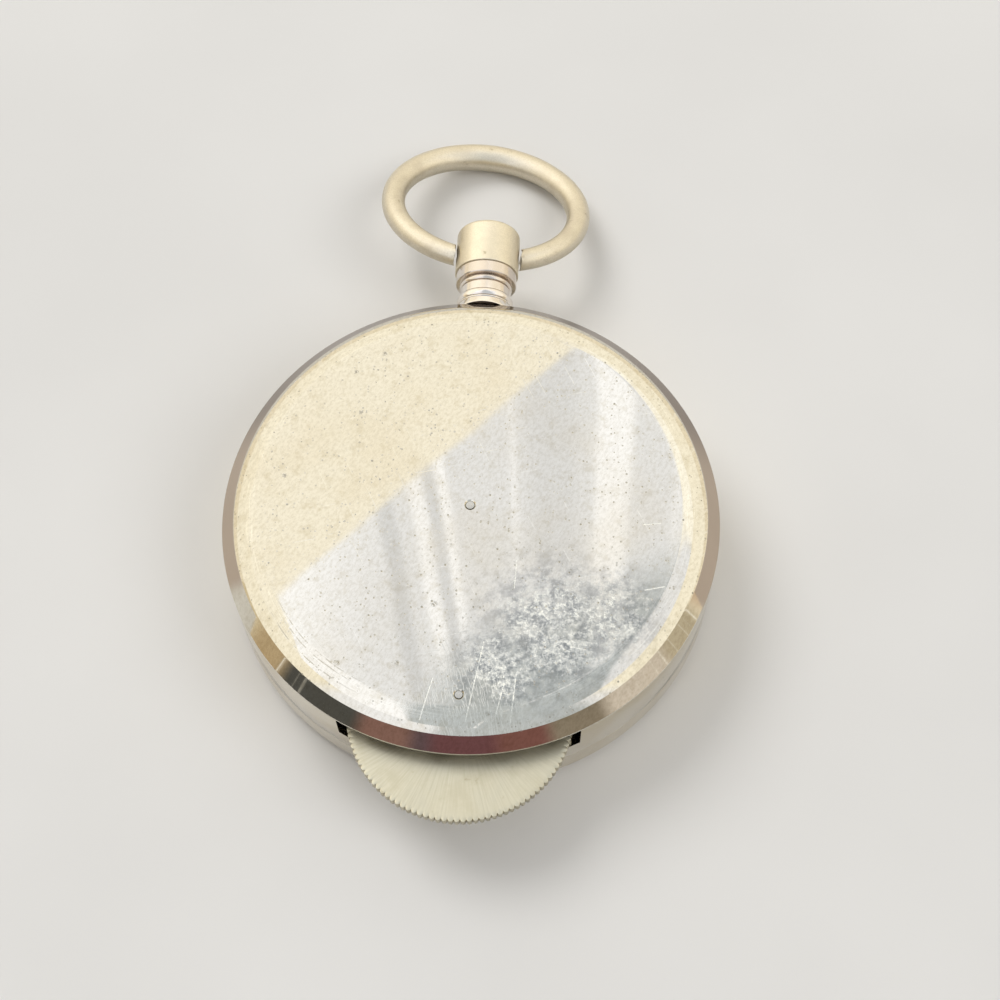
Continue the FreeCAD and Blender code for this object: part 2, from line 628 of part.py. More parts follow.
def make_plate_screws():
    """Four sunk screws that hold the plate to its pillars."""
    screws = []
    for index, (across, along) in enumerate(PILLAR_PLACES, start=1):
        screw = slotted_screw(f"plate_screw_{index}", "plate_screw_head_radius", "plate_screw_head",
                              "plate_screw_radius", "plate_screw_reach", "screw_slot_width",
                              "screw_slot_depth")
        screws.append(place(screw, across=signed(across), along=signed(along), up="ledge_height"))
    return hand_over(fuse("plate_screws", screws), "plate_screws")


def make_dial():
    """Dial sheet with a centre hole and two screw holes."""
    body = disc("dial", "dial_radius", "dial_thickness")
    holes = [("0", "0", "dial_hole_radius")]
    holes += [(side, "0", "dial_screw_radius + fit_gap") for side in DIAL_SCREW_SIDES]
    drill(body, holes, "dial_thickness")
    return hand_over(body, "dial", up="dial_face_height")


def make_dial_screws():
    """Two small screws that hold the dial to the plate."""
    screws = []
    for index, side in enumerate(DIAL_SCREW_SIDES, start=1):
        screw = slotted_screw(f"dial_screw_{index}", "dial_screw_head_radius", "dial_screw_head",
                              "dial_screw_radius", "dial_screw_reach", "screw_slot_width",
                              "screw_slot_depth")
        screws.append(place(screw, across=signed(side), up="dial_face_height - dial_screw_head"))
    return hand_over(fuse("dial_screws", screws), "dial_screws")


def make_bush(label, radius, flange_radius, journal_radius, along):
    """Flanged bush that is pressed into the front plate from behind."""
    body = turned(label, [
        (f"{journal_radius} + fit_gap", "ledge_height"),
        (radius, "ledge_height"),
        (radius, "plate_back_height"),
        (flange_radius, "plate_back_height"),
        (flange_radius, "bush_face_height"),
        (f"{journal_radius} + fit_gap", "bush_face_height"),
    ])
    return hand_over(body, label, along=along)


# ---------------------------------------------------------------- toothed pieces

def polar(radius, angle):
    """Return the point at a radius and an angle in radians."""
    return Vector(radius * math.cos(angle), radius * math.sin(angle), 0)


def toothed_wire(teeth, pitch_radius, addendum, dedendum, width, first):
    """Outline of a wheel with radial flanks and pointed, rounded tooth tips.

    The first tooth is centred on the angle `first`, and `width` is the tooth's thickness on the
    pitch circle.
    """
    half_tooth = width / 2 / pitch_radius
    nose_radius = (width ** 2 / 4 + addendum ** 2) / width
    half_sweep = math.atan2(addendum, nose_radius - width / 2) / 2
    root = pitch_radius - dedendum
    edges = []
    for index in range(teeth):
        centre = first + 2 * math.pi * index / teeth
        tip = polar(pitch_radius + addendum, centre)
        outward = polar(1.0, centre)
        sideways = Vector(-outward.y, outward.x, 0)
        middles = []
        for side in (-1, 1):
            nose_centre = outward * pitch_radius + sideways * side * (width / 2 - nose_radius)
            middles.append(nose_centre + sideways * side * nose_radius * math.cos(half_sweep)
                           + outward * nose_radius * math.sin(half_sweep))
        flank_low = polar(root, centre - half_tooth)
        flank_high = outward * pitch_radius - sideways * width / 2
        far_high = outward * pitch_radius + sideways * width / 2
        far_low = polar(root, centre + half_tooth)
        next_low = polar(root, centre - half_tooth + 2 * math.pi / teeth)
        edges += [Part.LineSegment(flank_low, flank_high).toShape(),
                  Part.Arc(flank_high, middles[0], tip).toShape(),
                  Part.Arc(tip, middles[1], far_high).toShape(),
                  Part.LineSegment(far_high, far_low).toShape(),
                  Part.LineSegment(far_low, next_low).toShape()]
    return Part.Wire(edges)


def gear_module():
    """Return the module that fills the centre distance with both tooth counts."""
    return 2 * value("centre_distance") / (count("gear_teeth") + count("pinion_leaves"))


# Tooth proportions of the train, in modules.
GEAR_ADDENDUM = 1.15
PINION_ADDENDUM = 0.8
TOOTH_CLEARANCE = 0.35
GEAR_TOOTH_WIDTH = 1.45
LEAF_WIDTH = 1.25


def spoke_window(inner, outer, spoke_width, centre, count):
    """Face between two spokes, bounded by the hub ring and the rim."""
    half = math.pi / count
    inner_half = half - math.asin(spoke_width / 2 / inner)
    outer_half = half - math.asin(spoke_width / 2 / outer)
    low, high = polar(inner, centre - inner_half), polar(inner, centre + inner_half)
    far_low, far_high = polar(outer, centre - outer_half), polar(outer, centre + outer_half)
    wire = Part.Wire([Part.LineSegment(low, far_low).toShape(),
                      Part.Arc(far_low, polar(outer, centre), far_high).toShape(),
                      Part.LineSegment(far_high, high).toShape(),
                      Part.Arc(high, polar(inner, centre), low).toShape()])
    return Part.Face(wire)


def make_centre_gear():
    """Spoked brass gear with one tooth on the line to the wheel arbor."""
    module = gear_module()
    pitch_radius = module * count("gear_teeth") / 2
    dedendum = (PINION_ADDENDUM + TOOTH_CLEARANCE) * module
    wire = toothed_wire(count("gear_teeth"), pitch_radius, GEAR_ADDENDUM * module, dedendum,
                        GEAR_TOOTH_WIDTH * module, -math.pi / 2)
    thickness = Vector(0, 0, value("gear_thickness"))
    blank = Part.Face(wire).extrude(thickness)
    bore = Part.makeCylinder(value("gear_bore_radius"), value("gear_thickness"))
    hub_ring = value("hub_flange_radius") + value("gear_spoke_width") / 2
    rim = pitch_radius - dedendum - value("gear_rim_width")
    spokes = count("gear_spokes")
    windows = [spoke_window(hub_ring, rim, value("gear_spoke_width"), 2 * math.pi * index / spokes,
                            spokes).extrude(thickness) for index in range(spokes)]
    gear = doc.addObject("Part::Feature", "centre_gear")
    gear.Shape = blank.cut([bore] + windows)
    return hand_over(gear, "centre_gear", up="gear_height")


def make_drive_pinion():
    """Eight steel leaves above a plain collar, with a space that faces the gear's tooth."""
    module = gear_module()
    leaves = count("pinion_leaves")
    pitch_radius = module * leaves / 2
    dedendum = (GEAR_ADDENDUM + TOOTH_CLEARANCE) * module
    wire = toothed_wire(leaves, pitch_radius, PINION_ADDENDUM * module, dedendum,
                        LEAF_WIDTH * module, math.pi / 2 + math.pi / leaves)
    collar_length = value("pinion_low_height") - value("wheel_hub_height")
    face_width = value("pinion_top_height") - value("pinion_low_height")
    collar = Part.makeCylinder(value("pinion_collar_radius"), collar_length)
    toothed = Part.Face(wire).extrude(Vector(0, 0, face_width))
    toothed.translate(Vector(0, 0, collar_length))
    bore = Part.makeCylinder(value("pinion_seat_radius") + value("fit_gap"),
                             collar_length + face_width)
    pinion = doc.addObject("Part::Feature", "drive_pinion")
    pinion.Shape = collar.fuse(toothed).cut(bore)
    return hand_over(pinion, "drive_pinion", along="wheel_axis_y", up="wheel_hub_height")


def make_tracing_wheel():
    """Thin wheel with a finely milled edge that rolls over the map."""
    teeth = count("tracing_teeth")
    radius = value("tracing_radius")
    root = radius - value("serration_depth")
    half_land = value("serration_land") / 2 / radius
    points = []
    for index in range(teeth):
        centre = 2 * math.pi * index / teeth
        points += [polar(radius, centre - half_land), polar(radius, centre + half_land),
                   polar(root, centre + math.pi / teeth)]
    face = Part.Face(Part.makePolygon(points + points[:1]))
    thickness = value("tracing_thickness")
    bore = Part.makeCylinder(value("tracing_bore_radius"), thickness)
    wheel = doc.addObject("Part::Feature", "tracing_wheel")
    wheel.Shape = face.extrude(Vector(0, 0, thickness)).cut(bore)
    return hand_over(wheel, "tracing_wheel", along="wheel_axis_y", up="tracing_low_height")


# ---------------------------------------------------------------- arbors and hubs

def make_centre_arbor():
    """Stepped steel arbor from the rear pivot to the pointer's seat."""
    body = turned("centre_arbor", [
        ("0", "boss_front_height"),
        ("pointer_seat_radius", "boss_front_height"),
        ("pointer_seat_radius", "boss_back_height"),
        ("centre_journal_radius", "boss_back_height"),
        ("centre_journal_radius", "arbor_shoulder_height"),
        ("centre_body_radius", "arbor_shoulder_height"),
        ("centre_body_radius", "hub_foot_height"),
        ("hub_seat_radius", "hub_foot_height"),
        ("hub_seat_radius", "hub_top_height"),
        ("washer_seat_radius", "hub_top_height"),
        ("washer_seat_radius", "pivot_shoulder_height"),
        ("centre_pivot_radius", "pivot_shoulder_height"),
        ("centre_pivot_radius", "pivot_end_height"),
        ("0", "pivot_end_height"),
    ])
    return hand_over(body, "centre_arbor")


def make_centre_gear_hub():
    """Brass hub with a flange under the gear and a riveted edge above it."""
    body = turned("centre_gear_hub", [
        ("hub_seat_radius + fit_gap", "hub_foot_height"),
        ("hub_flange_radius", "hub_foot_height"),
        ("hub_flange_radius", "gear_height"),
        ("gear_bore_radius - fit_gap", "gear_height"),
        ("gear_bore_radius - fit_gap", "hub_top_height"),
        ("hub_seat_radius + fit_gap", "hub_top_height"),
    ])
    return hand_over(body, "centre_gear_hub")


def make_centre_washer():
    """Dished spring washer between the hub and the cover, which steadies the pointer."""
    bore = "washer_seat_radius + washer_play"
    body = turned("centre_washer", [
        (bore, "washer_foot_height"),
        ("hub_seat_radius + washer_thickness", "washer_foot_height"),
        ("washer_radius - washer_rim_width", "washer_rim_height"),
        ("washer_radius", "washer_rim_height"),
        ("washer_radius", "cover_inner_height"),
        ("washer_radius - washer_rim_width - washer_thickness", "cover_inner_height"),
        ("hub_seat_radius", "washer_foot_height + washer_thickness"),
        (bore, "washer_foot_height + washer_thickness"),
    ])
    return hand_over(body, "centre_washer")


def make_wheel_arbor():
    """Stepped steel arbor of the tracing wheel and its pinion."""
    body = turned("wheel_arbor", [
        ("0", "ledge_height + end_shake"),
        ("wheel_journal_radius", "ledge_height + end_shake"),
        ("wheel_journal_radius", "arbor_shoulder_height"),
        ("wheel_body_radius", "arbor_shoulder_height"),
        ("wheel_body_radius", "wheel_hub_height"),
        ("pinion_seat_radius", "wheel_hub_height"),
        ("pinion_seat_radius", "pivot_shoulder_height"),
        ("wheel_pivot_radius", "pivot_shoulder_height"),
        ("wheel_pivot_radius", "pivot_end_height"),
        ("0", "pivot_end_height"),
    ])
    return hand_over(body, "wheel_arbor", along="wheel_axis_y")


def make_wheel_spacer():
    """Tube that keeps the wheel's hub off the front bush."""
    body = turned("wheel_spacer", [
        ("wheel_body_radius + fit_gap", "arbor_shoulder_height"),
        ("wheel_bush_flange_radius", "arbor_shoulder_height"),
        ("wheel_bush_flange_radius", "wheel_flange_height"),
        ("wheel_body_radius + fit_gap", "wheel_flange_height"),
    ])
    return hand_over(body, "wheel_spacer", along="wheel_axis_y")


def make_tracing_wheel_hub():
    """Hub that the tracing wheel is riveted to."""
    body = turned("tracing_wheel_hub", [
        ("wheel_body_radius + fit_gap", "wheel_flange_height"),
        ("wheel_flange_radius", "wheel_flange_height"),
        ("wheel_flange_radius", "tracing_low_height"),
        ("tracing_bore_radius - fit_gap", "tracing_low_height"),
        ("tracing_bore_radius - fit_gap", "wheel_hub_height"),
        ("wheel_body_radius + fit_gap", "wheel_hub_height"),
    ])
    return hand_over(body, "tracing_wheel_hub", along="wheel_axis_y")


# ---------------------------------------------------------------- pointer

def make_pointer():
    """Flat tapered hand with a round hub and a wider tail, pointing towards the pendant."""
    body = doc.addObject("PartDesign::Body", "pointer")
    hand = new_sketch(body, "XY_Plane")
    draw_outline(hand, [
        ("half_tip", "pointer_length"),
        ("-half_tip", "pointer_length"),
        ("-half_root", "0"),
        ("-half_tail", "-pointer_tail"),
        ("half_tail", "-pointer_tail"),
        ("half_root", "0"),
    ])
    blade = body.newObject("PartDesign::Pad", "pointer_blade")
    blade.Profile = hand
    bind(blade, Length="pointer_thickness")
    round_hub = new_sketch(body, "XY_Plane")
    draw_circles(round_hub, [("0", "0", "pointer_hub_radius")])
    hub = body.newObject("PartDesign::Pad", "pointer_hub")
    hub.Profile = round_hub
    bind(hub, Length="pointer_thickness")
    drill(body, [("0", "0", "boss_radius + fit_gap")], "pointer_thickness")
    return hand_over(body, "pointer", up="pointer_height")


def make_pointer_boss():
    """Small brass tube that is pushed onto the arbor and carries the pointer."""
    body = turned("pointer_boss", [
        ("pointer_seat_radius + fit_gap", "boss_front_height"),
        ("boss_radius", "boss_front_height"),
        ("boss_radius", "pointer_back_height"),
        ("boss_flange_radius", "pointer_back_height"),
        ("boss_flange_radius", "boss_back_height"),
        ("pointer_seat_radius + fit_gap", "boss_back_height"),
    ])
    return hand_over(body, "pointer_boss")


# ---------------------------------------------------------------- pendant and bow

def make_pendant_neck():
    """Turned neck: a stem in the band, a flared foot on the case, two beads and a collar."""
    turning = turned("neck_turning", [
        ("0", "fit_gap"),
        ("neck_base_radius", "fit_gap"),
        ("neck_base_radius", "stem_length"),
        ("neck_top_radius", "base_length"),
        ("neck_groove_radius", "base_length"),
        ("neck_groove_radius", "lower_bead_start"),
        ("lower_bead_radius", "lower_bead_start", "lower_bead_round", -1),
        ("lower_bead_radius", "waist_start"),
        ("waist_radius", "waist_start"),
        ("waist_radius", "waist_end"),
        ("neck_groove_radius", "waist_end"),
        ("neck_groove_radius", "upper_bead_start"),
        ("upper_bead_radius", "upper_bead_start", "upper_bead_round", -1),
        ("upper_bead_radius", "collar_start"),
        ("collar_radius", "collar_start"),
        ("collar_radius", "neck_length"),
        ("0", "neck_length"),
    ])
    place(turning, along="stem_start", up="pendant_height", turn=ALONG_Y)
    case_space = cylinder("case_space", "case_radius + fit_gap", "case_height")
    outside = cut("neck_outside", turning, case_space)
    stem = cylinder("neck_stem", "stem_radius", "base_length")
    place(stem, along="stem_start", up="pendant_height", turn=ALONG_Y)
    bore = cylinder("neck_bore", "pendant_screw_radius + fit_gap", "neck_length")
    place(bore, along="stem_start", up="pendant_height", turn=ALONG_Y)
    return hand_over(cut("neck", fuse("neck_solid", [outside, stem]), bore), "pendant_neck")


def make_pendant_cap():
    """Plain round cap with a tapped bore and a blind hole for each pin of the bow."""
    body = turned("cap_turning", [
        ("0", "0"),
        ("cap_radius", "0"),
        ("cap_radius", "cap_length - cap_round", "cap_round", -1),
        ("cap_radius - cap_round", "cap_length"),
        ("0", "cap_length"),
    ])
    holes = [cylinder("cap_thread", "pendant_screw_radius + fit_gap",
                      "pendant_screw_reach + fit_gap")]
    for name, bottom, turn in (("right", "pin_hole_bottom", ALONG_X),
                               ("left", "0 - pin_hole_bottom", AGAINST_X)):
        hole = cylinder(f"{name}_pin_hole", "bow_pin_radius + pin_hole_gap", "cap_radius")
        holes.append(place(hole, across=bottom, up="bow_pivot_place", turn=turn))
    turned_cap = FreeCAD.Rotation(Vector(0, 1, 0), value("cap_turn")) * ALONG_Y
    return hand_over(cut("cap", body, fuse("cap_holes", holes)), "pendant_cap",
                     along="case_axis_y + cap_start", up="pendant_height", turn=turned_cap)


def make_pendant_screw():
    """Screw inside the case that passes through the neck into the cap."""
    screw = slotted_screw("pendant_screw", "pendant_screw_head_radius", "pendant_screw_head",
                          "pendant_screw_radius", "neck_length + pendant_screw_reach",
                          "pendant_slot_width", "pendant_slot_depth")
    return hand_over(screw, "pendant_screw", along="case_axis_y + stem_start - pendant_screw_head",
                     up="pendant_height", turn=ALONG_Y)


def make_bow():
    """Tapered ring with flat ends and two inward pins, hanging until it meets the rim's plane."""
    half_width = value("bow_half_width")
    half_length = value("bow_half_length")
    half_span = value("bow_half_span")
    end_wire = value("bow_end_wire")
    aside = value("bow_aside")
    oval = FreeCAD.Matrix()
    oval.scale(half_width, half_length, 1)
    oval.move(-aside, value("bow_centre"), 0)
    right_end = -math.acos((half_span - end_wire + aside) / half_width)
    left_end = math.pi + math.acos((half_span - end_wire - aside) / half_width)
    stations = [right_end, math.pi / 2, left_end]
    spine = []
    for low, high in zip(stations, stations[1:]):
        arc = Part.Arc(polar(1, low), polar(1, (low + high) / 2), polar(1, high))
        spine.append(arc.toShape().transformGeometry(oval))
    pipe = Part.BRepOffsetAPI.MakePipeShell(Part.Wire(spine))
    for angle, wire in zip(stations, (end_wire, value("bow_top_wire"), end_wire)):
        point = oval.multVec(polar(1, angle))
        along_spine = Vector(-half_width * math.sin(angle), half_length * math.cos(angle), 0)
        pipe.add(Part.Wire(Part.Circle(point, along_spine, wire).toShape()), False, False)
    pipe.build()
    pipe.makeSolid()
    ring = pipe.shape()
    between = Part.makeBox(2 * half_span, 4 * end_wire, 4 * end_wire,
                           Vector(-half_span, -2 * end_wire, -2 * end_wire))
    bow = ring.cut(between)
    tip = value("cap_radius") - value("bow_pin_reach")
    for side in (-1, 1):
        pin = Part.makeCylinder(value("bow_pin_radius"), half_span + end_wire / 2 - tip,
                                Vector(side * tip, 0, 0), Vector(side, 0, 0))
        bow = bow.fuse(pin)
    lean = -math.degrees(math.asin(value("bow_slope") / math.cos(math.radians(value("cap_turn")))))
    hanging = (FreeCAD.Rotation(Vector(0, 1, 0), value("cap_turn"))
               * FreeCAD.Rotation(Vector(1, 0, 0), lean))
    feature = doc.addObject("Part::Feature", "bow")
    feature.Shape = bow.removeSplitter()
    return hand_over(feature, "bow", along="case_axis_y + bow_pivot_along", up="pendant_height",
                     turn=hanging)


# ---------------------------------------------------------------- writing

def write_parts():
    """Check every object and each sub-part, then write one STEP file for each sub-part."""
    doc.recompute()
    for thing in doc.Objects:
        if "Invalid" in thing.State or "Error" in thing.State:
            raise RuntimeError(f"{thing.Name} is {thing.State}")
    for part in sub_parts:
        if part.Shape.isNull() or not part.Shape.isValid():
            raise RuntimeError(f"{part.Label} has no valid shape")
    os.makedirs("parts", exist_ok=True)
    for part in sub_parts:
        part.Shape.exportStep(f"parts/{part.Label}.step")
        solids = len(part.Shape.Solids)
        print(f"{part.Label}: {solids} solid(s), {part.Shape.Volume:.2f} mm3")


sizes, places = fill_sheets()

make_rear_cover()
make_case_band()
make_front_bezel()
make_crystal()
make_front_plate()
make_plate_pillars()
make_plate_screws()
make_dial()
make_dial_screws()
make_bush("centre_bush", "centre_bush_radius", "centre_bush_flange_radius",
          "centre_journal_radius", "case_axis_y")
make_bush("wheel_bush", "wheel_bush_radius", "wheel_bush_flange_radius",
          "wheel_journal_radius", "wheel_axis_y")
make_centre_arbor()
make_centre_gear()
make_centre_gear_hub()
make_centre_washer()
make_wheel_arbor()
make_wheel_spacer()
make_drive_pinion()
make_tracing_wheel()
make_tracing_wheel_hub()
make_pointer()
make_pointer_boss()
make_pendant_neck()
make_pendant_cap()
make_pendant_screw()
make_bow()

write_parts()
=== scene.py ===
"""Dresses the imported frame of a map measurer: an opisometer in a pocket-watch case.

The case lies on its bezel with the polished back upwards, +Y runs to the pendant and its bow, and
the tracing wheel shows at the -Y side. Sizes in this file are millimetres; MM turns them into the
scene's metres. Each sub-assembly is a class that builds its pieces and dresses them.
"""
import json
import logging
import math
from contextlib import contextmanager
from dataclasses import dataclass, field
from enum import Enum
from functools import reduce
from itertools import pairwise
from typing import Callable, Iterator, Sequence

import bmesh
import bpy
from mathutils import Euler, Matrix, Vector

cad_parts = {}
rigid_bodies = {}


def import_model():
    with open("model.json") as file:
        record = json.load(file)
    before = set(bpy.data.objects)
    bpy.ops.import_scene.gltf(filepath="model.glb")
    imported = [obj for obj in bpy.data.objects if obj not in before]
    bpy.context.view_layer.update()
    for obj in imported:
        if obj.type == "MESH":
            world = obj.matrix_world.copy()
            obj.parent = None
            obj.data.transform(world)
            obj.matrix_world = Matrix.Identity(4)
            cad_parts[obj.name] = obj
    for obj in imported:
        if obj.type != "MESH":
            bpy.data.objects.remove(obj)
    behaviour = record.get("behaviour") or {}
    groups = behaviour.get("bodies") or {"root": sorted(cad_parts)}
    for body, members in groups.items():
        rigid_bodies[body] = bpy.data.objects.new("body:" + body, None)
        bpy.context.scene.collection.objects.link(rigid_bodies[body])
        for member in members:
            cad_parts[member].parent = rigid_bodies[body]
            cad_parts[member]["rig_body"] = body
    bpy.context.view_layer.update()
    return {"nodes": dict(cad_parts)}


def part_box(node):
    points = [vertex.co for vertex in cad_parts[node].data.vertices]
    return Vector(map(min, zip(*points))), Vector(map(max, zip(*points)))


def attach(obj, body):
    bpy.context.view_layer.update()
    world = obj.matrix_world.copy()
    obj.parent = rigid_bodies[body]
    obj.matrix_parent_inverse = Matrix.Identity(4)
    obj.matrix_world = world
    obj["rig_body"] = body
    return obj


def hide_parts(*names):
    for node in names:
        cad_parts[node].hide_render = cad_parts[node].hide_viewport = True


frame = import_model()

log = logging.getLogger("map_measurer")

MM = 0.001
FULL_TURN = 2 * math.pi
SAME_PLACE = 0.002

Corner = tuple[float, float]
Corner3 = tuple[float, float, float]
Colour = tuple[float, float, float, float]
Object = bpy.types.Object


# ---------------------------------------------------------------- modelling by hand

class Pick(Enum):
    """What a selection in edit mode takes."""

    CORNERS = "VERT"
    EDGES = "EDGE"
    FACES = "FACE"


class Solids(Enum):
    """How two solids are brought together."""

    CUT = "DIFFERENCE"
    WELD = "UNION"


def make_active(piece: Object) -> None:
    """Select one object alone and make it the active one."""
    bpy.ops.object.select_all(action="DESELECT")
    piece.select_set(True)
    bpy.context.view_layer.objects.active = piece


def added(add: Callable[..., object], **settings: object) -> Object:
    """Add an object with one of Blender's operators, with nothing else selected.

    Args:
        add: the operator.
        settings: what the operator takes.

    Returns:
        The new object.
    """
    bpy.ops.object.select_all(action="DESELECT")
    add(**settings)
    return bpy.context.object


def block(middle: Vector, size: Vector) -> Object:
    """Add a block by its middle and its size, in millimetres."""
    piece = added(bpy.ops.mesh.primitive_cube_add, size=1, location=middle * MM, scale=size * MM)
    bpy.ops.object.transform_apply()
    return piece


@contextmanager
def editing(piece: Object) -> Iterator[None]:
    """Open a piece in edit mode with all of it selected, and close it again.

    Args:
        piece: the mesh object to edit.
    """
    make_active(piece)
    bpy.ops.object.mode_set(mode="EDIT")
    take_all()
    yield
    bpy.ops.object.mode_set(mode="OBJECT")


def take_all() -> None:
    """Select all of the mesh that is being edited."""
    bpy.ops.mesh.select_all(action="SELECT")


def merge_doubles() -> None:
    """Make one corner of those that share a place in the mesh that is being edited."""
    take_all()
    bpy.ops.mesh.remove_doubles(threshold=SAME_PLACE * MM)


def face_outwards() -> None:
    """Turn the faces of the mesh that is being edited outwards."""
    take_all()
    bpy.ops.mesh.normals_make_consistent(inside=False)


def pick(piece: Object, what: Pick, wanted: Callable[[Vector], bool]) -> None:
    """Select by place alone, in edit mode.

    Args:
        piece: the mesh object that is being edited.
        what: corners, edges or faces.
        wanted: tells from an item's middle, in millimetres, whether it is taken.
    """
    bpy.ops.mesh.select_all(action="DESELECT")
    bpy.ops.mesh.select_mode(type=what.value)
    mesh = bmesh.from_edit_mesh(piece.data)
    if what is Pick.CORNERS:
        items = [(corner, corner.co) for corner in mesh.verts]
    else:
        items = [(item, sum((c.co for c in item.verts), Vector()) / len(item.verts))
                 for item in (mesh.edges if what is Pick.EDGES else mesh.faces)]
    for item, middle in items:
        if wanted(middle / MM):
            item.select_set(True)
    bmesh.update_edit_mesh(piece.data)


def finish_mesh(piece: Object, name: str, smooth_deg: float = 32.0) -> Object:
    """Name a piece, put its place into its mesh and smooth its round faces.

    Args:
        piece: the modelled object.
        name: its final name.
        smooth_deg: edges sharper than this stay sharp.

    Returns:
        The same object.
    """
    piece.name = piece.data.name = name
    make_active(piece)
    bpy.ops.object.transform_apply()
    bpy.ops.object.shade_smooth_by_angle(angle=math.radians(smooth_deg))
    return piece


def combine(piece: Object, other: Object, how: Solids = Solids.CUT) -> Object:
    """Cut another solid out of a piece or weld it on, and use it up.

    Args:
        piece: the solid that stays.
        other: the solid that goes.
        how: whether it is cut out or welded on.

    Returns:
        The piece.
    """
    make_active(piece)
    modifier = piece.modifiers.new(how.name, "BOOLEAN")
    modifier.operation = how.value
    modifier.solver = "EXACT"
    modifier.object = other
    bpy.ops.object.modifier_apply(modifier=modifier.name)
    bpy.data.objects.remove(other)
    return piece


@dataclass(frozen=True)
class Lathe:
    """The line that pieces are turned about, in millimetres."""

    foot: Vector
    along: Vector = Vector((0, 0, 1))
    across: Vector = Vector((1, 0, 0))

    def point(self, corner: Corner) -> Vector:
        """Return the place, in metres, of a (radius, height) corner."""
        return (self.foot + self.across * corner[0] + self.along * corner[1]) * MM

    def turn(self, outline: Sequence[Corner], steps: int = 360) -> Object:
        """Draw an outline corner by corner and spin it into a turned piece.

        Args:
            outline: (radius, height) corners. It closes on itself unless it starts on the axis.
            steps: facets round the piece.

        Returns:
            The new object.
        """
        points = [self.point(corner) for corner in outline]
        piece = added(bpy.ops.mesh.primitive_plane_add, size=MM, location=points[0])
        with editing(piece):
            bpy.ops.mesh.merge(type="CENTER")
            for here, there in pairwise(points):
                bpy.ops.mesh.extrude_region_move(TRANSFORM_OT_translate={"value": there - here})
            if outline[0][0] > 0:
                mesh = bmesh.from_edit_mesh(piece.data)
                mesh.verts.ensure_lookup_table()
                mesh.verts[0].select_set(True)
                bmesh.update_edit_mesh(piece.data)
                bpy.ops.mesh.edge_face_add()
            take_all()
            bpy.ops.mesh.spin(steps=steps, angle=FULL_TURN, center=self.foot * MM, axis=self.along)
            merge_doubles()
            face_outwards()
        make_active(piece)
        bpy.ops.object.transform_apply()
        return piece

    def rod(self, radius: float, start: float, end: float, steps: int) -> Object:
        """Turn a plain rod, such as a drill, from one height to another."""
        return self.turn([(0, start), (radius, start), (radius, end), (0, end)], steps)


def arc(centre: Corner, radius: float, start_deg: float, end_deg: float,
        steps: int = 4) -> list[Corner]:
    """Corners along an arc of an outline.

    Args:
        centre: (radius, height) of the arc's centre.
        radius: of the arc.
        start_deg: where it starts, with 0 outwards and 90 upwards.
        end_deg: where it ends.
        steps: straight runs in the arc.

    Returns:
        The corners, both ends included.
    """
    sweep = [math.radians(start_deg + (end_deg - start_deg) * i / steps) for i in range(steps + 1)]
    return [(centre[0] + radius * math.cos(a), centre[1] + radius * math.sin(a)) for a in sweep]


# ---------------------------------------------------------------- finishes

def linear(hex_colour: str) -> Colour:
    """Turn an sRGB hex colour into the linear colour that the shaders use."""
    channels = [int(hex_colour[i:i + 2], 16) / 255 for i in (1, 3, 5)]
    return (*[c / 12.92 if c <= 0.04045 else ((c + 0.055) / 1.055) ** 2.4 for c in channels], 1.0)


@dataclass(frozen=True)
class Value:
    """What one output of a node gives, as something that arithmetic can be done with."""

    nodes: "Nodes"
    socket: bpy.types.NodeSocket

    def other(self, result: str) -> "Value":
        """Return what another output of the same node gives."""
        return Value(self.nodes, self.socket.node.outputs[result])

    def __add__(self, more: object) -> "Value":
        """Add a number or a value."""
        return self.nodes.math("ADD", self, more)

    def __sub__(self, less: object) -> "Value":
        """Take a number or a value away."""
        return self.nodes.math("SUBTRACT", self, less)

    def __mul__(self, times: object) -> "Value":
        """Multiply by a number or a value."""
        return self.nodes.math("MULTIPLY", self, times)

    def __truediv__(self, by: object) -> "Value":
        """Divide by a number or a value."""
        return self.nodes.math("DIVIDE", self, by)

    def __abs__(self) -> "Value":
        """Drop the sign."""
        return self.nodes.math("ABSOLUTE", self)


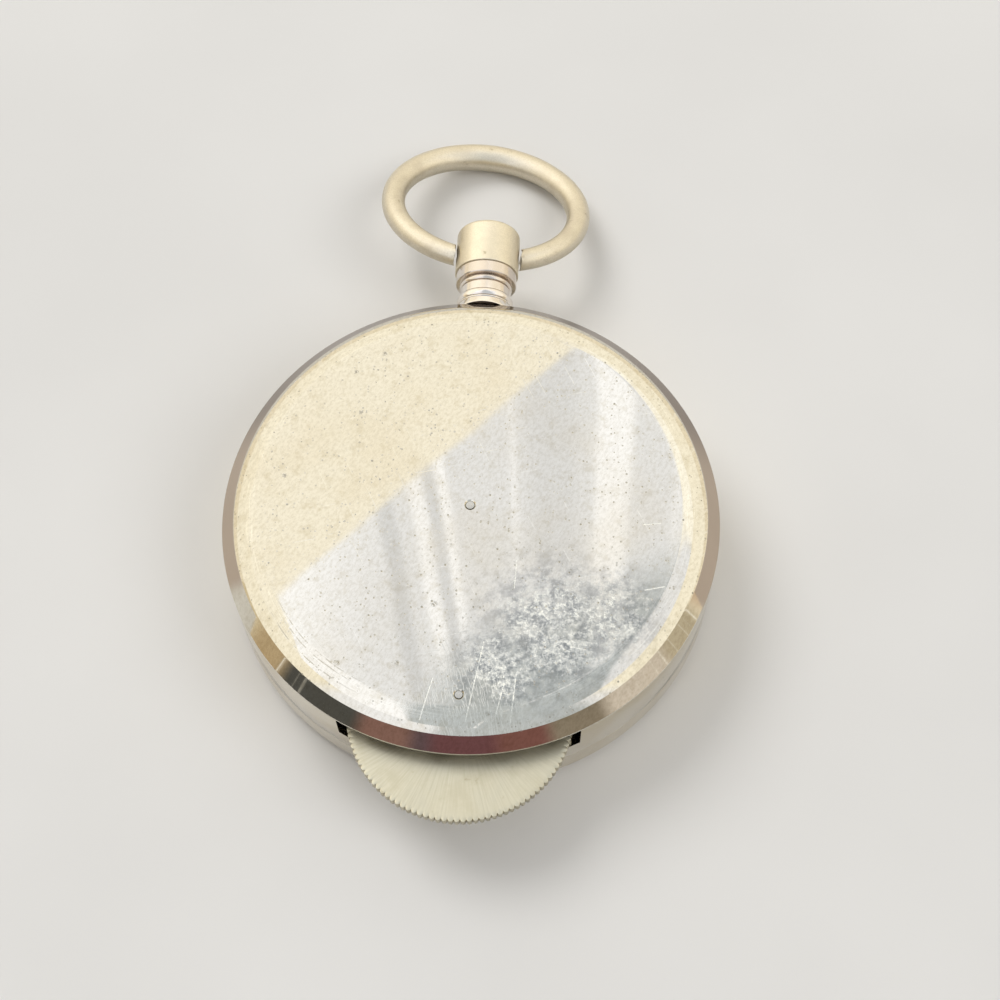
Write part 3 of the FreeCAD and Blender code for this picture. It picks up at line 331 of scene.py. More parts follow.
class Nodes:
    """The nodes of a material or a world, written from an empty tree."""

    def __init__(self, owner: bpy.types.Material | bpy.types.World) -> None:
        """Empty the tree of a material or a world."""
        owner.use_nodes = True
        self.owner = owner
        self.tree = owner.node_tree
        self.tree.nodes.clear()

    def add(self, kind: str, sockets: dict[str | int, object] | None = None,
            result: str | int = 0, **settings: object) -> Value:
        """Add a node with its settings, values and links.

        Args:
            kind: the node's type, after the word ShaderNode.
            sockets: inputs by name or number, each a constant or what another node gives.
            result: the output to hand out.
            settings: properties of the node itself.

        Returns:
            What that output gives.
        """
        node = self.tree.nodes.new("ShaderNode" + kind)
        for name, setting in settings.items():
            setattr(node, name, setting)
        for name, value in (sockets or {}).items():
            if isinstance(value, Value):
                self.tree.links.new(value.socket, node.inputs[name])
            else:
                node.inputs[name].default_value = value
        return Value(self, node.outputs[result])

    def close(self, surface: Value) -> bpy.types.Material | bpy.types.World:
        """Lead a shader to the tree's output and return the owner."""
        end = self.tree.nodes.new("ShaderNodeOutput" + type(self.owner).__name__)
        self.tree.links.new(surface.socket, end.inputs["Surface"])
        return self.owner

    def math(self, operation: str, *values: object) -> Value:
        """Return the result of a Math node."""
        return self.add("Math", dict(enumerate(values)), operation=operation)

    def vector(self, operation: str, *values: object, result: str = "Vector") -> Value:
        """Return the result of a Vector Math node."""
        return self.add("VectorMath", dict(enumerate(values)), result, operation=operation)

    def parts(self, whole: Value) -> list[Value]:
        """Take a vector or a colour apart."""
        first = self.add("SeparateXYZ", {0: whole})
        return [first.other(name) for name in "XYZ"]

    def blend(self, share: object, first: object, second: object) -> Value:
        """Mix two colours, plain hex ones or what nodes give, by a share."""
        first, second = (linear(tone) if isinstance(tone, str) else tone
                         for tone in (first, second))
        return self.add("Mix", {0: share, 6: first, 7: second}, 2, data_type="RGBA")

    def layers(self, tone: object, *coats: tuple[Value, object]) -> Value:
        """Lay coats over a colour, each a share and a colour."""
        for share, coat in coats:
            tone = self.blend(share, tone, coat)
        return tone


class Shading(Nodes):
    """The nodes of one material, with the few patterns that this object's metals share."""

    def __init__(self, name: str, centre: Vector) -> None:
        """Start an empty material whose patterns are measured from a centre.

        Args:
            name: the material's name.
            centre: origin of the pattern's coordinates, in millimetres.
        """
        super().__init__(bpy.data.materials.new(name))
        self.place = self.add("Mapping", {"Vector": self.add("TexCoord", result="Object"),
                                          "Scale": (1 / MM,) * 3, "Location": -centre})
        self.flat = self.vector("MULTIPLY", self.place, (1, 1, 0))

    def surface(self, colour: object, dull: object, normal: Value | None = None,
                metallic: float = 1.0, **others: object) -> bpy.types.Material:
        """Close the material with its shader.

        Args:
            colour: its base colour.
            dull: its roughness.
            normal: its relief, where it has one.
            metallic: 1 for bare metal.
            others: further inputs, with a low line for each space in their names.

        Returns:
            The material.
        """
        sockets = {"Base Color": colour, "Roughness": dull, "Metallic": metallic}
        sockets |= {name.replace("_", " "): value for name, value in others.items()}
        if normal:
            sockets["Normal"] = normal
        return self.close(self.add("BsdfPrincipled", sockets))

    def glow(self, tone: Value, strength: float) -> bpy.types.Material:
        """Close the material as one that gives light, and return it."""
        return self.close(self.add("Emission", {"Color": tone, "Strength": strength}))

    def pair(self, first: object, second: object) -> Value:
        """Join two numbers to a place on a plane of their own."""
        return self.add("CombineXYZ", {0: first, 1: second})

    def largest(self, *masks: Value) -> Value:
        """Lay masks over each other."""
        return reduce(lambda whole, mask: self.math("MAXIMUM", whole, mask), masks)

    def ramp(self, value: object, low: float, high: float, to_low: float = 0.0,
             to_high: float = 1.0) -> Value:
        """Map a value smoothly from one range to another, and hold it at the ends."""
        return self.add("MapRange", {
            "Value": value, "From Min": low, "From Max": high, "To Min": to_low,
            "To Max": to_high}, interpolation_type="SMOOTHSTEP")

    def cloud(self, per_mm: float, detail: float = 4.0, vector: Value | None = None,
              rough: float = 0.55) -> Value:
        """Noise with a number of features to the millimetre."""
        return self.add("TexNoise", {"Vector": vector or self.place, "Scale": per_mm,
                                     "Detail": detail, "Roughness": rough})

    def stretched(self, scale: tuple[float, float, float], turn_deg: float) -> Value:
        """The pattern's coordinates, turned about Z and then stretched."""
        turned = self.add("VectorRotate", {"Vector": self.place, "Angle": math.radians(turn_deg)},
                          rotation_type="Z_AXIS")
        return self.vector("MULTIPLY", turned, scale)

    def polar(self) -> tuple[Value, Value]:
        """Distance from the centre line and angle round it."""
        across, along, _ = self.parts(self.place)
        return (self.vector("LENGTH", self.flat, result="Value"),
                self.math("ARCTAN2", along, across))

    def near(self, spot: Corner, radius: float, core: float = 0.35) -> Value:
        """A soft round mask on the XY plane: 1 in its core and 0 at the radius."""
        away = self.vector("DISTANCE", self.flat, (*spot, 0), result="Value")
        return self.ramp(away, radius, core * radius)

    def spots(self, spots: Sequence[tuple[Corner, float]], core: float) -> Value:
        """Soft round masks, each with its place and radius, laid over each other."""
        return self.largest(*[self.near(spot, radius, core) for spot, radius in spots])

    def cells(self, vector: Value, per_unit: float = 1.0) -> tuple[Value, Value]:
        """Scattered cells, and a number drawn for each."""
        cell = self.add("TexVoronoi", {"Vector": vector, "Scale": per_unit, "Randomness": 1.0})
        return cell, self.parts(cell.other("Color"))[0]

    def hairlines(self, turn_deg: float, length_mm: float, share: float,
                  per_mm: float = 0.5) -> Value:
        """Fine short lines in one direction, one in some of the cells of a stretched grid.

        Args:
            turn_deg: direction of the lines.
            length_mm: how long a line runs at the most.
            share: how many of the cells hold a line.
            per_mm: cells to the millimetre, across the lines.

        Returns:
            The lines' mask.
        """
        grid = self.stretched((1 / length_mm, per_mm, 0), turn_deg)
        cell, drawn = self.cells(grid)
        along, across, _ = self.parts(self.vector("SUBTRACT", grid, cell.other("Position")))
        thin = self.ramp(abs(across), 0.055 * per_mm, 0.01 * per_mm)
        ends = self.ramp(abs(along), 0.36, 0.22)
        return self.ramp(drawn, 1 - share, 1 - 0.8 * share) * thin * ends

    def scratch(self, start: Corner, end: Corner, width: float = 0.07) -> Value:
        """One thin scratch from a place to another on the XY plane."""
        run = Vector((*end, 0)) - Vector((*start, 0))
        arm = self.vector("SUBTRACT", self.flat, (*start, 0))
        along = self.vector("DOT_PRODUCT", arm, run.normalized(), result="Value")
        along = self.add("Clamp", {"Value": along, "Max": run.length})
        foot = self.add("VectorMath", {0: run.normalized(), "Scale": along}, operation="SCALE")
        return self.ramp(self.vector("DISTANCE", arm, foot, result="Value"), width, 0.2 * width)

    def specks(self, per_mm: float, share: float, radius_mm: float) -> Value:
        """Ragged round specks in some of the cells of a scattered grid.

        Args:
            per_mm: cells to the millimetre.
            share: how many of the cells hold a speck.
            radius_mm: of the largest speck.

        Returns:
            The specks' mask.
        """
        cell, drawn = self.cells(self.place, per_mm)
        size = self.ramp(drawn, 1 - share, 1.0, 0.0, radius_mm * per_mm)
        ragged = self.cloud(6.0, 2.0) * (0.5 * radius_mm * per_mm) + cell
        return self.ramp(size - ragged, -0.03, 0.03)

    def bump(self, height: Value, depth_mm: float, base: Value | None = None) -> Value:
        """The normal that a height pattern of a real depth gives, on a base that may have one."""
        sockets = {"Height": height, "Distance": depth_mm * MM, "Strength": 1.0}
        return self.add("Bump", sockets | ({"Normal": base} if base else {}))


@dataclass(frozen=True)
class PolishedNickel:
    """Nickel plate on brass, buffed to a mirror and then carried for years.

    The eye sees clear reflections under a thin uneven haze, with small dark specks in it.
    """

    name: str = "polished_nickel"
    metal: str = "#dad4c6"
    tarnish: str = "#cbbd9f"
    pit: str = "#716c61"
    roughness: float = 0.07
    haze: float = 0.09
    specks_per_mm: float = 0.9
    speck_share: float = 0.3
    speck_radius: float = 0.11

    def make(self, centre: Vector) -> bpy.types.Material:
        """Build the material about a centre in millimetres."""
        look = Shading(self.name, centre)
        haze = look.cloud(0.14, 5.0)
        specks = look.specks(self.specks_per_mm, self.speck_share, self.speck_radius)
        hairlines = look.hairlines(64.0, 5.0, 0.3, 0.7)
        colour = look.layers(self.metal, (look.ramp(haze, 0.40, 0.66, 0.0, 0.7), self.tarnish),
                             (specks * 0.8, self.pit))
        dull = look.ramp(haze, 0.35, 0.75) * self.haze + hairlines * 0.15 + specks * 0.3
        height = look.cloud(2.6, 3.0) * 0.06 - specks
        return look.surface(colour, dull + self.roughness, look.bump(height, 0.008))


@dataclass(frozen=True)
class WornBack(PolishedNickel):
    """The mirror of the case's back, the most worn face of the object.

    The nickel has a mottled bloom all over, a few deep pits, dark specks in clusters, a cloudy
    field where it has corroded, scratches that cross round the wheel's pivot and scuffs that follow
    its edge. The bevel's colour holds a painted brown reflection of dark surroundings.
    """

    name: str = "worn_nickel_back"
    metal: str = "#dbd7cc"
    tarnish: str = "#cfc5af"
    roughness: float = 0.022
    haze: float = 0.025
    specks_per_mm: float = 1.1
    speck_share: float = 0.8
    speck_radius: float = 0.13
    bloom: str = "#bdb7a8"
    blotch: str = "#b9b09a"
    crust: str = "#eceade"
    bare: str = "#87898a"
    # Painted reflection: the two browns that darken the bevel's colour in place of the dark
    # surroundings it mirrors.
    bevel_tone: str = "#b9a999"
    bevel_back: str = "#8b7f75"
    pit_radius: float = 0.34
    pits: tuple[Corner, ...] = ((-8.8, 15.3), (-11.3, 13.2), (-10.5, 9.0), (-16.9, 2.2),
                                (-2.6, -9.7), (-10.5, -15.5), (-5.4, -15.3))
    field_spots: tuple[tuple[Corner, float], ...] = (
        ((7.6, -11.6), 9.5), ((3.6, -15.2), 6.2), ((12.8, -10.0), 6.0))
    speckled_spots: tuple[tuple[Corner, float], ...] = (
        ((-9.8, -9.5), 4.5), ((-4.2, -0.2), 3.4), ((13.2, 2.0), 2.6), ((12.6, 7.0), 3.0),
        ((2.9, 2.4), 1.8), ((-8.4, 13.0), 3.2))
    hatched_spot: tuple[Corner, float] = ((1.2, -19.2), 6.2)
    scratches: tuple[tuple[Corner, Corner], ...] = (
        ((-3.2, -20.2), (-2.3, -16.5)), ((0.7, -20.2), (1.9, -13.0)), ((4.5, -20.1), (4.8, -15.9)),
        ((4.3, -7.9), (4.4, -5.2)), ((15.5, -1.3), (17.0, -1.1)), ((15.7, -7.6), (17.4, -7.2)),
        ((3.2, -19.8), (3.8, -16.8)))
    rim_band: tuple[float, float] = (18.2, 19.6)
    scored_radii: tuple[float, ...] = (19.35, 19.75, 20.35)
    scored_spot: tuple[Corner, float] = ((-13.2, -14.6), 7.0)

    def make(self, centre: Vector) -> bpy.types.Material:
        """Build the material about a centre in millimetres."""
        look = Shading(self.name, centre)
        haze = look.cloud(0.11, 6.0)
        mottle = look.cloud(2.5, 7.0, look.stretched((0.9, 1.5, 1.0), -62.0), 0.75)
        blotches = look.cloud(0.8, 8.0, rough=0.72)
        face, bevel = self.bevel(look)
        crust, bare = self.corrosion(look)
        marks = self.marks(look) * look.ramp(face, 0.0, 1.0, 0.2)
        holes = self.holes(look) * face
        # Painted reflection: the bevel's colour darkened to brown, standing in for dark
        # surroundings mirrored there.
        tarnish = look.blend(look.ramp(bevel, 0.2, 1.0), self.bevel_tone, self.bevel_back)
        colour = look.layers(
            self.metal,
            (look.ramp(haze, 0.42, 0.68, 0.0, 0.35), self.tarnish),
            (look.ramp(mottle, 0.40, 0.66, 0.0, 0.55), self.bloom),
            (look.ramp(blotches, 0.50, 0.66, 0.0, 0.4), self.blotch),
            (bare, self.bare), (crust, self.crust), (marks * 0.7, self.crust),
            (holes * 0.75, self.pit), (look.ramp(bevel, 0.0, 0.2), tarnish))
        dull = (look.ramp(haze, 0.35, 0.75) * self.haze + look.ramp(mottle, 0.45, 0.75) * 0.03
                + crust * 0.30 + marks * 0.22 + holes * 0.35 + self.roughness)
        relief = mottle * 0.015 + crust * 0.18 - holes * 0.4 - marks * 0.15
        ripple = look.bump(look.cloud(0.07, 1.0), 0.02)
        return look.surface(colour, dull, look.bump(relief, 0.010, ripple))

    def holes(self, look: Shading) -> Value:
        """Deep pits, specks all over and denser in clusters, and scored lines."""
        pits = look.spots([(pit, self.pit_radius) for pit in self.pits], 0.2)
        specks = look.specks(self.specks_per_mm, self.speck_share, self.speck_radius)
        clusters = look.largest(look.spots(self.speckled_spots, 0.3) * 0.8,
                                look.ramp(look.cloud(0.4, 3.0), 0.42, 0.58, 0.1, 0.7))
        return look.largest(pits * look.ramp(look.cloud(5.5, 2.0), 0.42, 0.56), specks,
                            look.specks(2.8, 0.9, 0.13) * clusters, self.scores(look))

    def scores(self, look: Shading) -> Value:
        """Fine dark lines that something has scored along a part of the edge."""
        wander = look.cloud(0.25, 2.0) * 0.5 + look.polar()[0]
        lines = look.largest(*[look.ramp(abs(wander - scored), 0.07, 0.02)
                               for scored in self.scored_radii])
        broken = look.ramp(look.cloud(1.2, 3.0), 0.42, 0.56, 0.0, 0.7)
        return lines * broken * look.near(*self.scored_spot)

    def bevel(self, look: Shading) -> tuple[Value, Value]:
        """Painted dark reflection on the bevel, put into its colour: none at the front, growing
        towards the pendant.

        Args:
            look: the back's nodes.

        Returns:
            A mask of the face above the bevel, and the share of the painted reflection on the
            bevel, growing towards the pendant.
        """
        _, along, height = look.parts(look.place)
        grown = look.ramp(along, -9.5, -7.0, 0.0, 0.2) + look.ramp(along, 2.0, 13.0, 0.0, 0.8)
        return look.ramp(height, -0.90, -0.84), look.ramp(height, -0.84, -0.90) * grown

    def corrosion(self, look: Shading) -> tuple[Value, Value]:
        """Pale crust and darker bare patches between it, both fading out round the field."""
        where = look.spots(self.field_spots, 0.25) * look.ramp(look.cloud(0.28, 4.0), 0.32, 0.54,
                                                               0.65)
        crust = look.cloud(2.3, 8.0, rough=0.8) + where * 0.17 - 0.17
        patches = look.cloud(0.8, 7.0, rough=0.65)
        return (look.ramp(crust, 0.44, 0.62, 0.0, 0.85) * where,
                look.ramp(patches, 0.40, 0.60, 0.0, 0.72) * where)

    def marks(self, look: Shading) -> Value:
        """Single scratches, short hairlines all over, hatching at the pivot, scuffs by the rim."""
        single = look.largest(*[look.scratch(*ends) for ends in self.scratches])
        single = single * look.ramp(look.cloud(3.2, 3.0), 0.38, 0.5, 0.3)
        all_over = look.largest(look.hairlines(62.0, 4.0, 0.14, 0.6),
                                look.hairlines(-14.0, 3.0, 0.1, 0.5))
        hatched = look.largest(look.hairlines(78.0, 1.8, 0.7, 4.0),
                               look.hairlines(66.0, 1.5, 0.6, 3.4))
        radius, angle = look.polar()
        rings = abs(look.cloud(1.0, 1.0, look.pair(radius * 5.0, angle * 2.2)) - 0.5)
        belt = look.ramp(radius, *self.rim_band) * look.ramp(radius, 20.5, 20.0)
        return look.largest(single, all_over * 0.3, hatched * 0.6 * look.near(*self.hatched_spot),
                            look.ramp(rings, 0.03, 0.0, 0.0, 0.45) * belt)


class Grain(Enum):
    """Which way the fine lines of a satin surface run."""

    EVEN = "even"
    RAYS = "rays"


@dataclass(frozen=True)
class SatinNickel:
    """Nickel silver that was brushed and has dulled in the hand: warm, soft highlights."""

    name: str
    metal: str
    shade: str
    stain: str = "#8f8266"
    roughness: float = 0.34
    spread: float = 0.14
    relief: float = 0.006
    grain: Grain = Grain.EVEN

    def lines(self, look: Shading) -> Value:
        """The brushing, as rays from the centre or an even grain."""
        if self.grain is Grain.EVEN:
            return look.cloud(9.0, 3.0)
        radius, angle = look.polar()
        return look.cloud(1.0, 4.0, look.pair(radius * 0.25, angle * 46.0), 0.7)

    def make(self, centre: Vector) -> bpy.types.Material:
        """Build the material about a centre in millimetres."""
        look = Shading(self.name, centre)
        lines = self.lines(look)
        patches = look.cloud(0.45, 5.0)
        stains = look.ramp(look.cloud(0.9, 6.0, rough=0.65), 0.62, 0.74, 0.0, 0.55)
        colour = look.layers(self.metal, (look.ramp(lines, 0.35, 0.7, 0.0, 0.6), self.shade),
                             (look.ramp(patches, 0.45, 0.7, 0.0, 0.5), self.shade),
                             (stains, self.stain))
        dull = look.ramp(patches, 0.3, 0.7) * self.spread + stains * 0.15 + self.roughness
        height = lines - look.hairlines(38.0, 2.0, 0.4, 1.2) * 0.6
        return look.surface(colour, dull, look.bump(height, self.relief))


@dataclass(frozen=True)
class TurnedMetal:
    """Metal straight from the lathe or the file, for the pieces of the train.

    A fine even tool grain gives the eye a soft line of light; the tone tells brass from steel.
    """

    name: str
    metal: str
    shade: str
    roughness: float = 0.28

    def make(self, centre: Vector) -> bpy.types.Material:
        """Build the material about a centre in millimetres."""
        look = Shading(self.name, centre)
        radius, angle = look.polar()
        lines = look.cloud(1.0, 3.0, look.pair(radius * 7.0, angle * 0.8))
        colour = look.blend(look.ramp(look.cloud(0.5, 4.0), 0.4, 0.7), self.metal, self.shade)
        return look.surface(colour, lines * 0.12 + self.roughness, look.bump(lines, 0.004))


@dataclass(frozen=True)
class Lacquer:
    """Thin stoved lacquer or printer's ink on metal: nearly flat, with a faint unevenness."""

    name: str
    tone: str
    aged: str
    roughness: float = 0.42

    def make(self, centre: Vector) -> bpy.types.Material:
        """Build the material about a centre in millimetres."""
        look = Shading(self.name, centre)
        peel = look.cloud(3.0, 2.0)
        colour = look.blend(look.ramp(look.cloud(0.12, 5.0), 0.4, 0.7), self.tone, self.aged)
        return look.surface(colour, peel * 0.1 + self.roughness, look.bump(peel, 0.002), 0.0)


@dataclass(frozen=True)
class BluedSteel:
    """Polished steel that was heated until it turned deep blue."""

    name: str = "blued_steel"
    blue: str = "#1d2f66"
    violet: str = "#33245c"
    roughness: float = 0.2

    def make(self, centre: Vector) -> bpy.types.Material:
        """Build the material about a centre in millimetres."""
        look = Shading(self.name, centre)
        colour = look.blend(look.ramp(look.cloud(0.3, 3.0), 0.4, 0.65), self.blue, self.violet)
        return look.surface(colour, look.cloud(4.0, 2.0) * 0.1 + self.roughness, metallic=0.9)


@dataclass(frozen=True)
class WatchGlass:
    """Clear mineral glass with a few hairlines from wear."""

    name: str = "watch_glass"
    tone: str = "#f4f8f7"
    ior: float = 1.5
    roughness: float = 0.015

    def make(self, centre: Vector) -> bpy.types.Material:
        """Build the material about a centre in millimetres."""
        look = Shading(self.name, centre)
        dull = look.hairlines(25.0, 6.0, 0.3, 0.3) * 0.2 + self.roughness
        return look.surface(linear(self.tone), dull, metallic=0.0, IOR=self.ior,
                            Transmission_Weight=1.0)


# ---------------------------------------------------------------- pieces and bodies

def axis_of(node: str) -> Vector:
    """Return the middle of a CAD node's box, at the plane of the rim, in millimetres."""
    low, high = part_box(node)
    return Vector(((low.x + high.x) / 2, (low.y + high.y) / 2, 0)) / MM


CASE_AXIS = axis_of("front_bezel")
WHEEL_AXIS = axis_of("tracing_wheel")


def stand_for(piece: Object, node: str, material: bpy.types.Material) -> Object:
    """Let a piece take the place of a CAD node.

    Args:
        piece: the finished object.
        node: the CAD node that it replaces.
        material: what it is made of.

    Returns:
        The same object.
    """
    body = frame["nodes"][node]["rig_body"]
    piece.data.materials.clear()
    piece.data.materials.append(material)
    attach(piece, body)
    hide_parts(node)
    log.info("%s stands for node %s on body %s", piece.name, node, body)
    return piece


def dress(node: str, material: bpy.types.Material) -> None:
    """Give a CAD node that stays its material."""
    slots = frame["nodes"][node].material_slots
    for slot in slots:
        slot.material = material
    if not slots:
        frame["nodes"][node].data.materials.append(material)
    log.info("node %s keeps its shape and is dressed in %s", node, material.name)


@dataclass
class Case:
    """Rear cover, band, bezel and glass, all turned about the case's axis."""

    radius: float = 22.5
    back: float = 12.2
    cover_inside: float = 11.6
    bore: float = 20.95
    shoulder_foot: Corner = (21.29, 11.36)
    shoulder: Corner = (2.3, 0.84)
    cover_corner: float = 0.5
    bevel_foot: float = 10.03
    joint: float = 9.78
    skirt_foot: float = 9.28
    fit: float = 0.03
    skirt_wall: float = 0.5
    bezel_joint: float = 4.1
    bezel_round: float = 1.6
    rim: Corner = (20.1, 20.9)
    window: float = 19.5
    glass_radius: float = 20.4
    glass_seat: float = 1.1
    glass_back: float = 2.0
    dome_rise: float = 0.75
    spigot: Corner = (20.3, 21.5)
    spigot_end: float = 2.3
    ledge: float = 3.9
    soft_edge: float = 0.05
    pivot_holes: tuple[float, float] = (0.405, 0.36)
    countersink: float = 0.12
    slot_half: float = 10.55
    slot_depth: float = 5.23
    slot_floor: float = 6.65
    lathe: Lathe = field(default_factory=lambda: Lathe(CASE_AXIS))

    def rear_cover(self) -> Object:
        """The flat back with its rounded shoulder, bevel, skirt and two pivot holes."""
        width, drop = self.shoulder
        flat = self.shoulder_foot[0] - width
        round_over = (width ** 2 + drop ** 2) / 2 / drop
        slope_deg = math.degrees(math.asin(width / round_over))
        skirt = self.bore - self.fit
        inside = skirt - self.skirt_wall
        edge = self.soft_edge
        bevel = math.atan2(self.shoulder_foot[1] - self.bevel_foot,
                           self.radius - self.shoulder_foot[0])
        foot = self.bevel_foot - edge * (1 - math.sin(bevel)) / math.cos(bevel)
        near_crease, near_foot = (
            (self.radius - away * math.cos(bevel), self.bevel_foot + away * math.sin(bevel))
            for away in (math.dist(self.shoulder_foot, (self.radius, self.bevel_foot)) - edge,
                         2 * edge))
        piece = self.lathe.turn([
            (0, self.back),
            (flat - 1.0, self.back),
            (flat - 0.1, self.back),
            *arc((flat, self.back - round_over), round_over, 90, 90 - slope_deg, 20),
            near_crease,
            near_foot,
            *arc((self.radius - edge, foot), edge, 90 - math.degrees(bevel), 0),
            (self.radius, self.joint + edge),
            *arc((self.radius - edge, self.joint + edge), edge, 0, -90)[1:],
            (skirt, self.joint),
            (skirt, self.skirt_foot),
            (inside, self.skirt_foot),
            (inside, self.cover_inside - self.cover_corner),
            (inside - self.cover_corner, self.cover_inside),
            (0, self.cover_inside),
        ])
        for axis, hole in zip((CASE_AXIS, WHEEL_AXIS), self.pivot_holes):
            combine(piece, self.pivot_drill(axis, hole))
        return finish_mesh(piece, "rear_cover_mirror")

    def pivot_drill(self, axis: Vector, radius: float) -> Object:
        """The drill and countersink of a pivot hole."""
        wide = radius + self.countersink
        return Lathe(axis).turn([
            (0, self.cover_inside - 1),
            (radius, self.cover_inside - 1),
            (radius, self.back - self.countersink),
            (wide, self.back),
            (wide, self.back + 1),
            (0, self.back + 1),
        ], 48)

    def case_band(self, pendant: "Pendant") -> Object:
        """The wall, open towards the cover where the wheel passes and bored for the stem."""
        edge = self.soft_edge
        outer = self.radius - edge
        piece = self.lathe.turn([
            (self.spigot[0], self.spigot_end),
            (self.spigot[1], self.spigot_end),
            (self.spigot[1], self.bezel_joint),
            *arc((outer, self.bezel_joint + edge), edge, -90, 0),
            (self.radius, (self.bezel_joint + self.joint) / 2),
            *arc((outer, self.joint - edge), edge, 0, 90),
            (self.bore, self.joint),
            (self.bore, self.ledge),
            (self.spigot[0], self.ledge),
        ])
        low = Vector((-self.slot_half, -self.radius - 1, self.slot_floor)) + CASE_AXIS
        high = Vector((self.slot_half, self.slot_depth - self.radius, self.joint + 1)) + CASE_AXIS
        combine(piece, block((low + high) / 2, high - low))
        combine(piece, pendant.lathe.rod(pendant.stem + self.fit, -2, 4, 64))
        return finish_mesh(piece, "case_band_wall")

    def front_bezel(self) -> Object:
        """The ring that holds the glass, with the flat rim that the case lies on."""
        edge = self.soft_edge
        joint_radius = self.spigot[1] + self.fit
        glass = self.glass_radius + 2 * self.fit
        groove = self.spigot_end - 2 * self.fit
        piece = self.lathe.turn([
            (self.rim[0] + edge, 0),
            (self.rim[1] - 0.1, 0),
            *arc((self.rim[1], self.bezel_round), self.bezel_round, -90, 0, 20),
            (self.radius, self.bezel_joint - 0.5),
            *arc((self.radius - edge, self.bezel_joint - edge), edge, 0, 90),
            (joint_radius, self.bezel_joint),
            (joint_radius, groove),
            (glass, groove),
            (glass, self.glass_seat),
            (self.window + edge, self.glass_seat),
            (self.window, self.glass_seat - edge),
            (self.rim[0] - edge, edge),
        ])
        return finish_mesh(piece, "front_bezel_ring")

    def crystal(self) -> Object:
        """The low domed glass."""
        land = self.window - 2 * self.fit
        dome = (land ** 2 + self.dome_rise ** 2) / 2 / self.dome_rise
        half_deg = math.degrees(math.asin(land / dome))
        front = arc((0, self.glass_seat - self.dome_rise + dome), dome, -90, -90 + half_deg, 24)
        back = arc((0, self.glass_back - self.dome_rise + dome), dome, -90 + half_deg, -90, 24)
        piece = self.lathe.turn([
            (0, front[0][1]),
            *front[1:],
            (self.glass_radius - 0.1, self.glass_seat),
            (self.glass_radius, self.glass_seat + 0.1),
            (self.glass_radius, self.glass_back - 0.1),
            (self.glass_radius - 0.1, self.glass_back),
            *back[:-1],
            (0, back[-1][1]),
        ], 192)
        return finish_mesh(piece, "watch_crystal")

    def build(self, pendant: "Pendant") -> None:
        """Model the four pieces and let them stand for their nodes."""
        centre = CASE_AXIS + Vector((0, 0, self.back))
        plain = PolishedNickel().make(centre)
        stand_for(self.rear_cover(), "rear_cover", WornBack().make(centre))
        stand_for(self.case_band(pendant), "case_band", plain)
        stand_for(self.front_bezel(), "front_bezel", plain)
        stand_for(self.crystal(), "crystal", WatchGlass().make(CASE_AXIS))


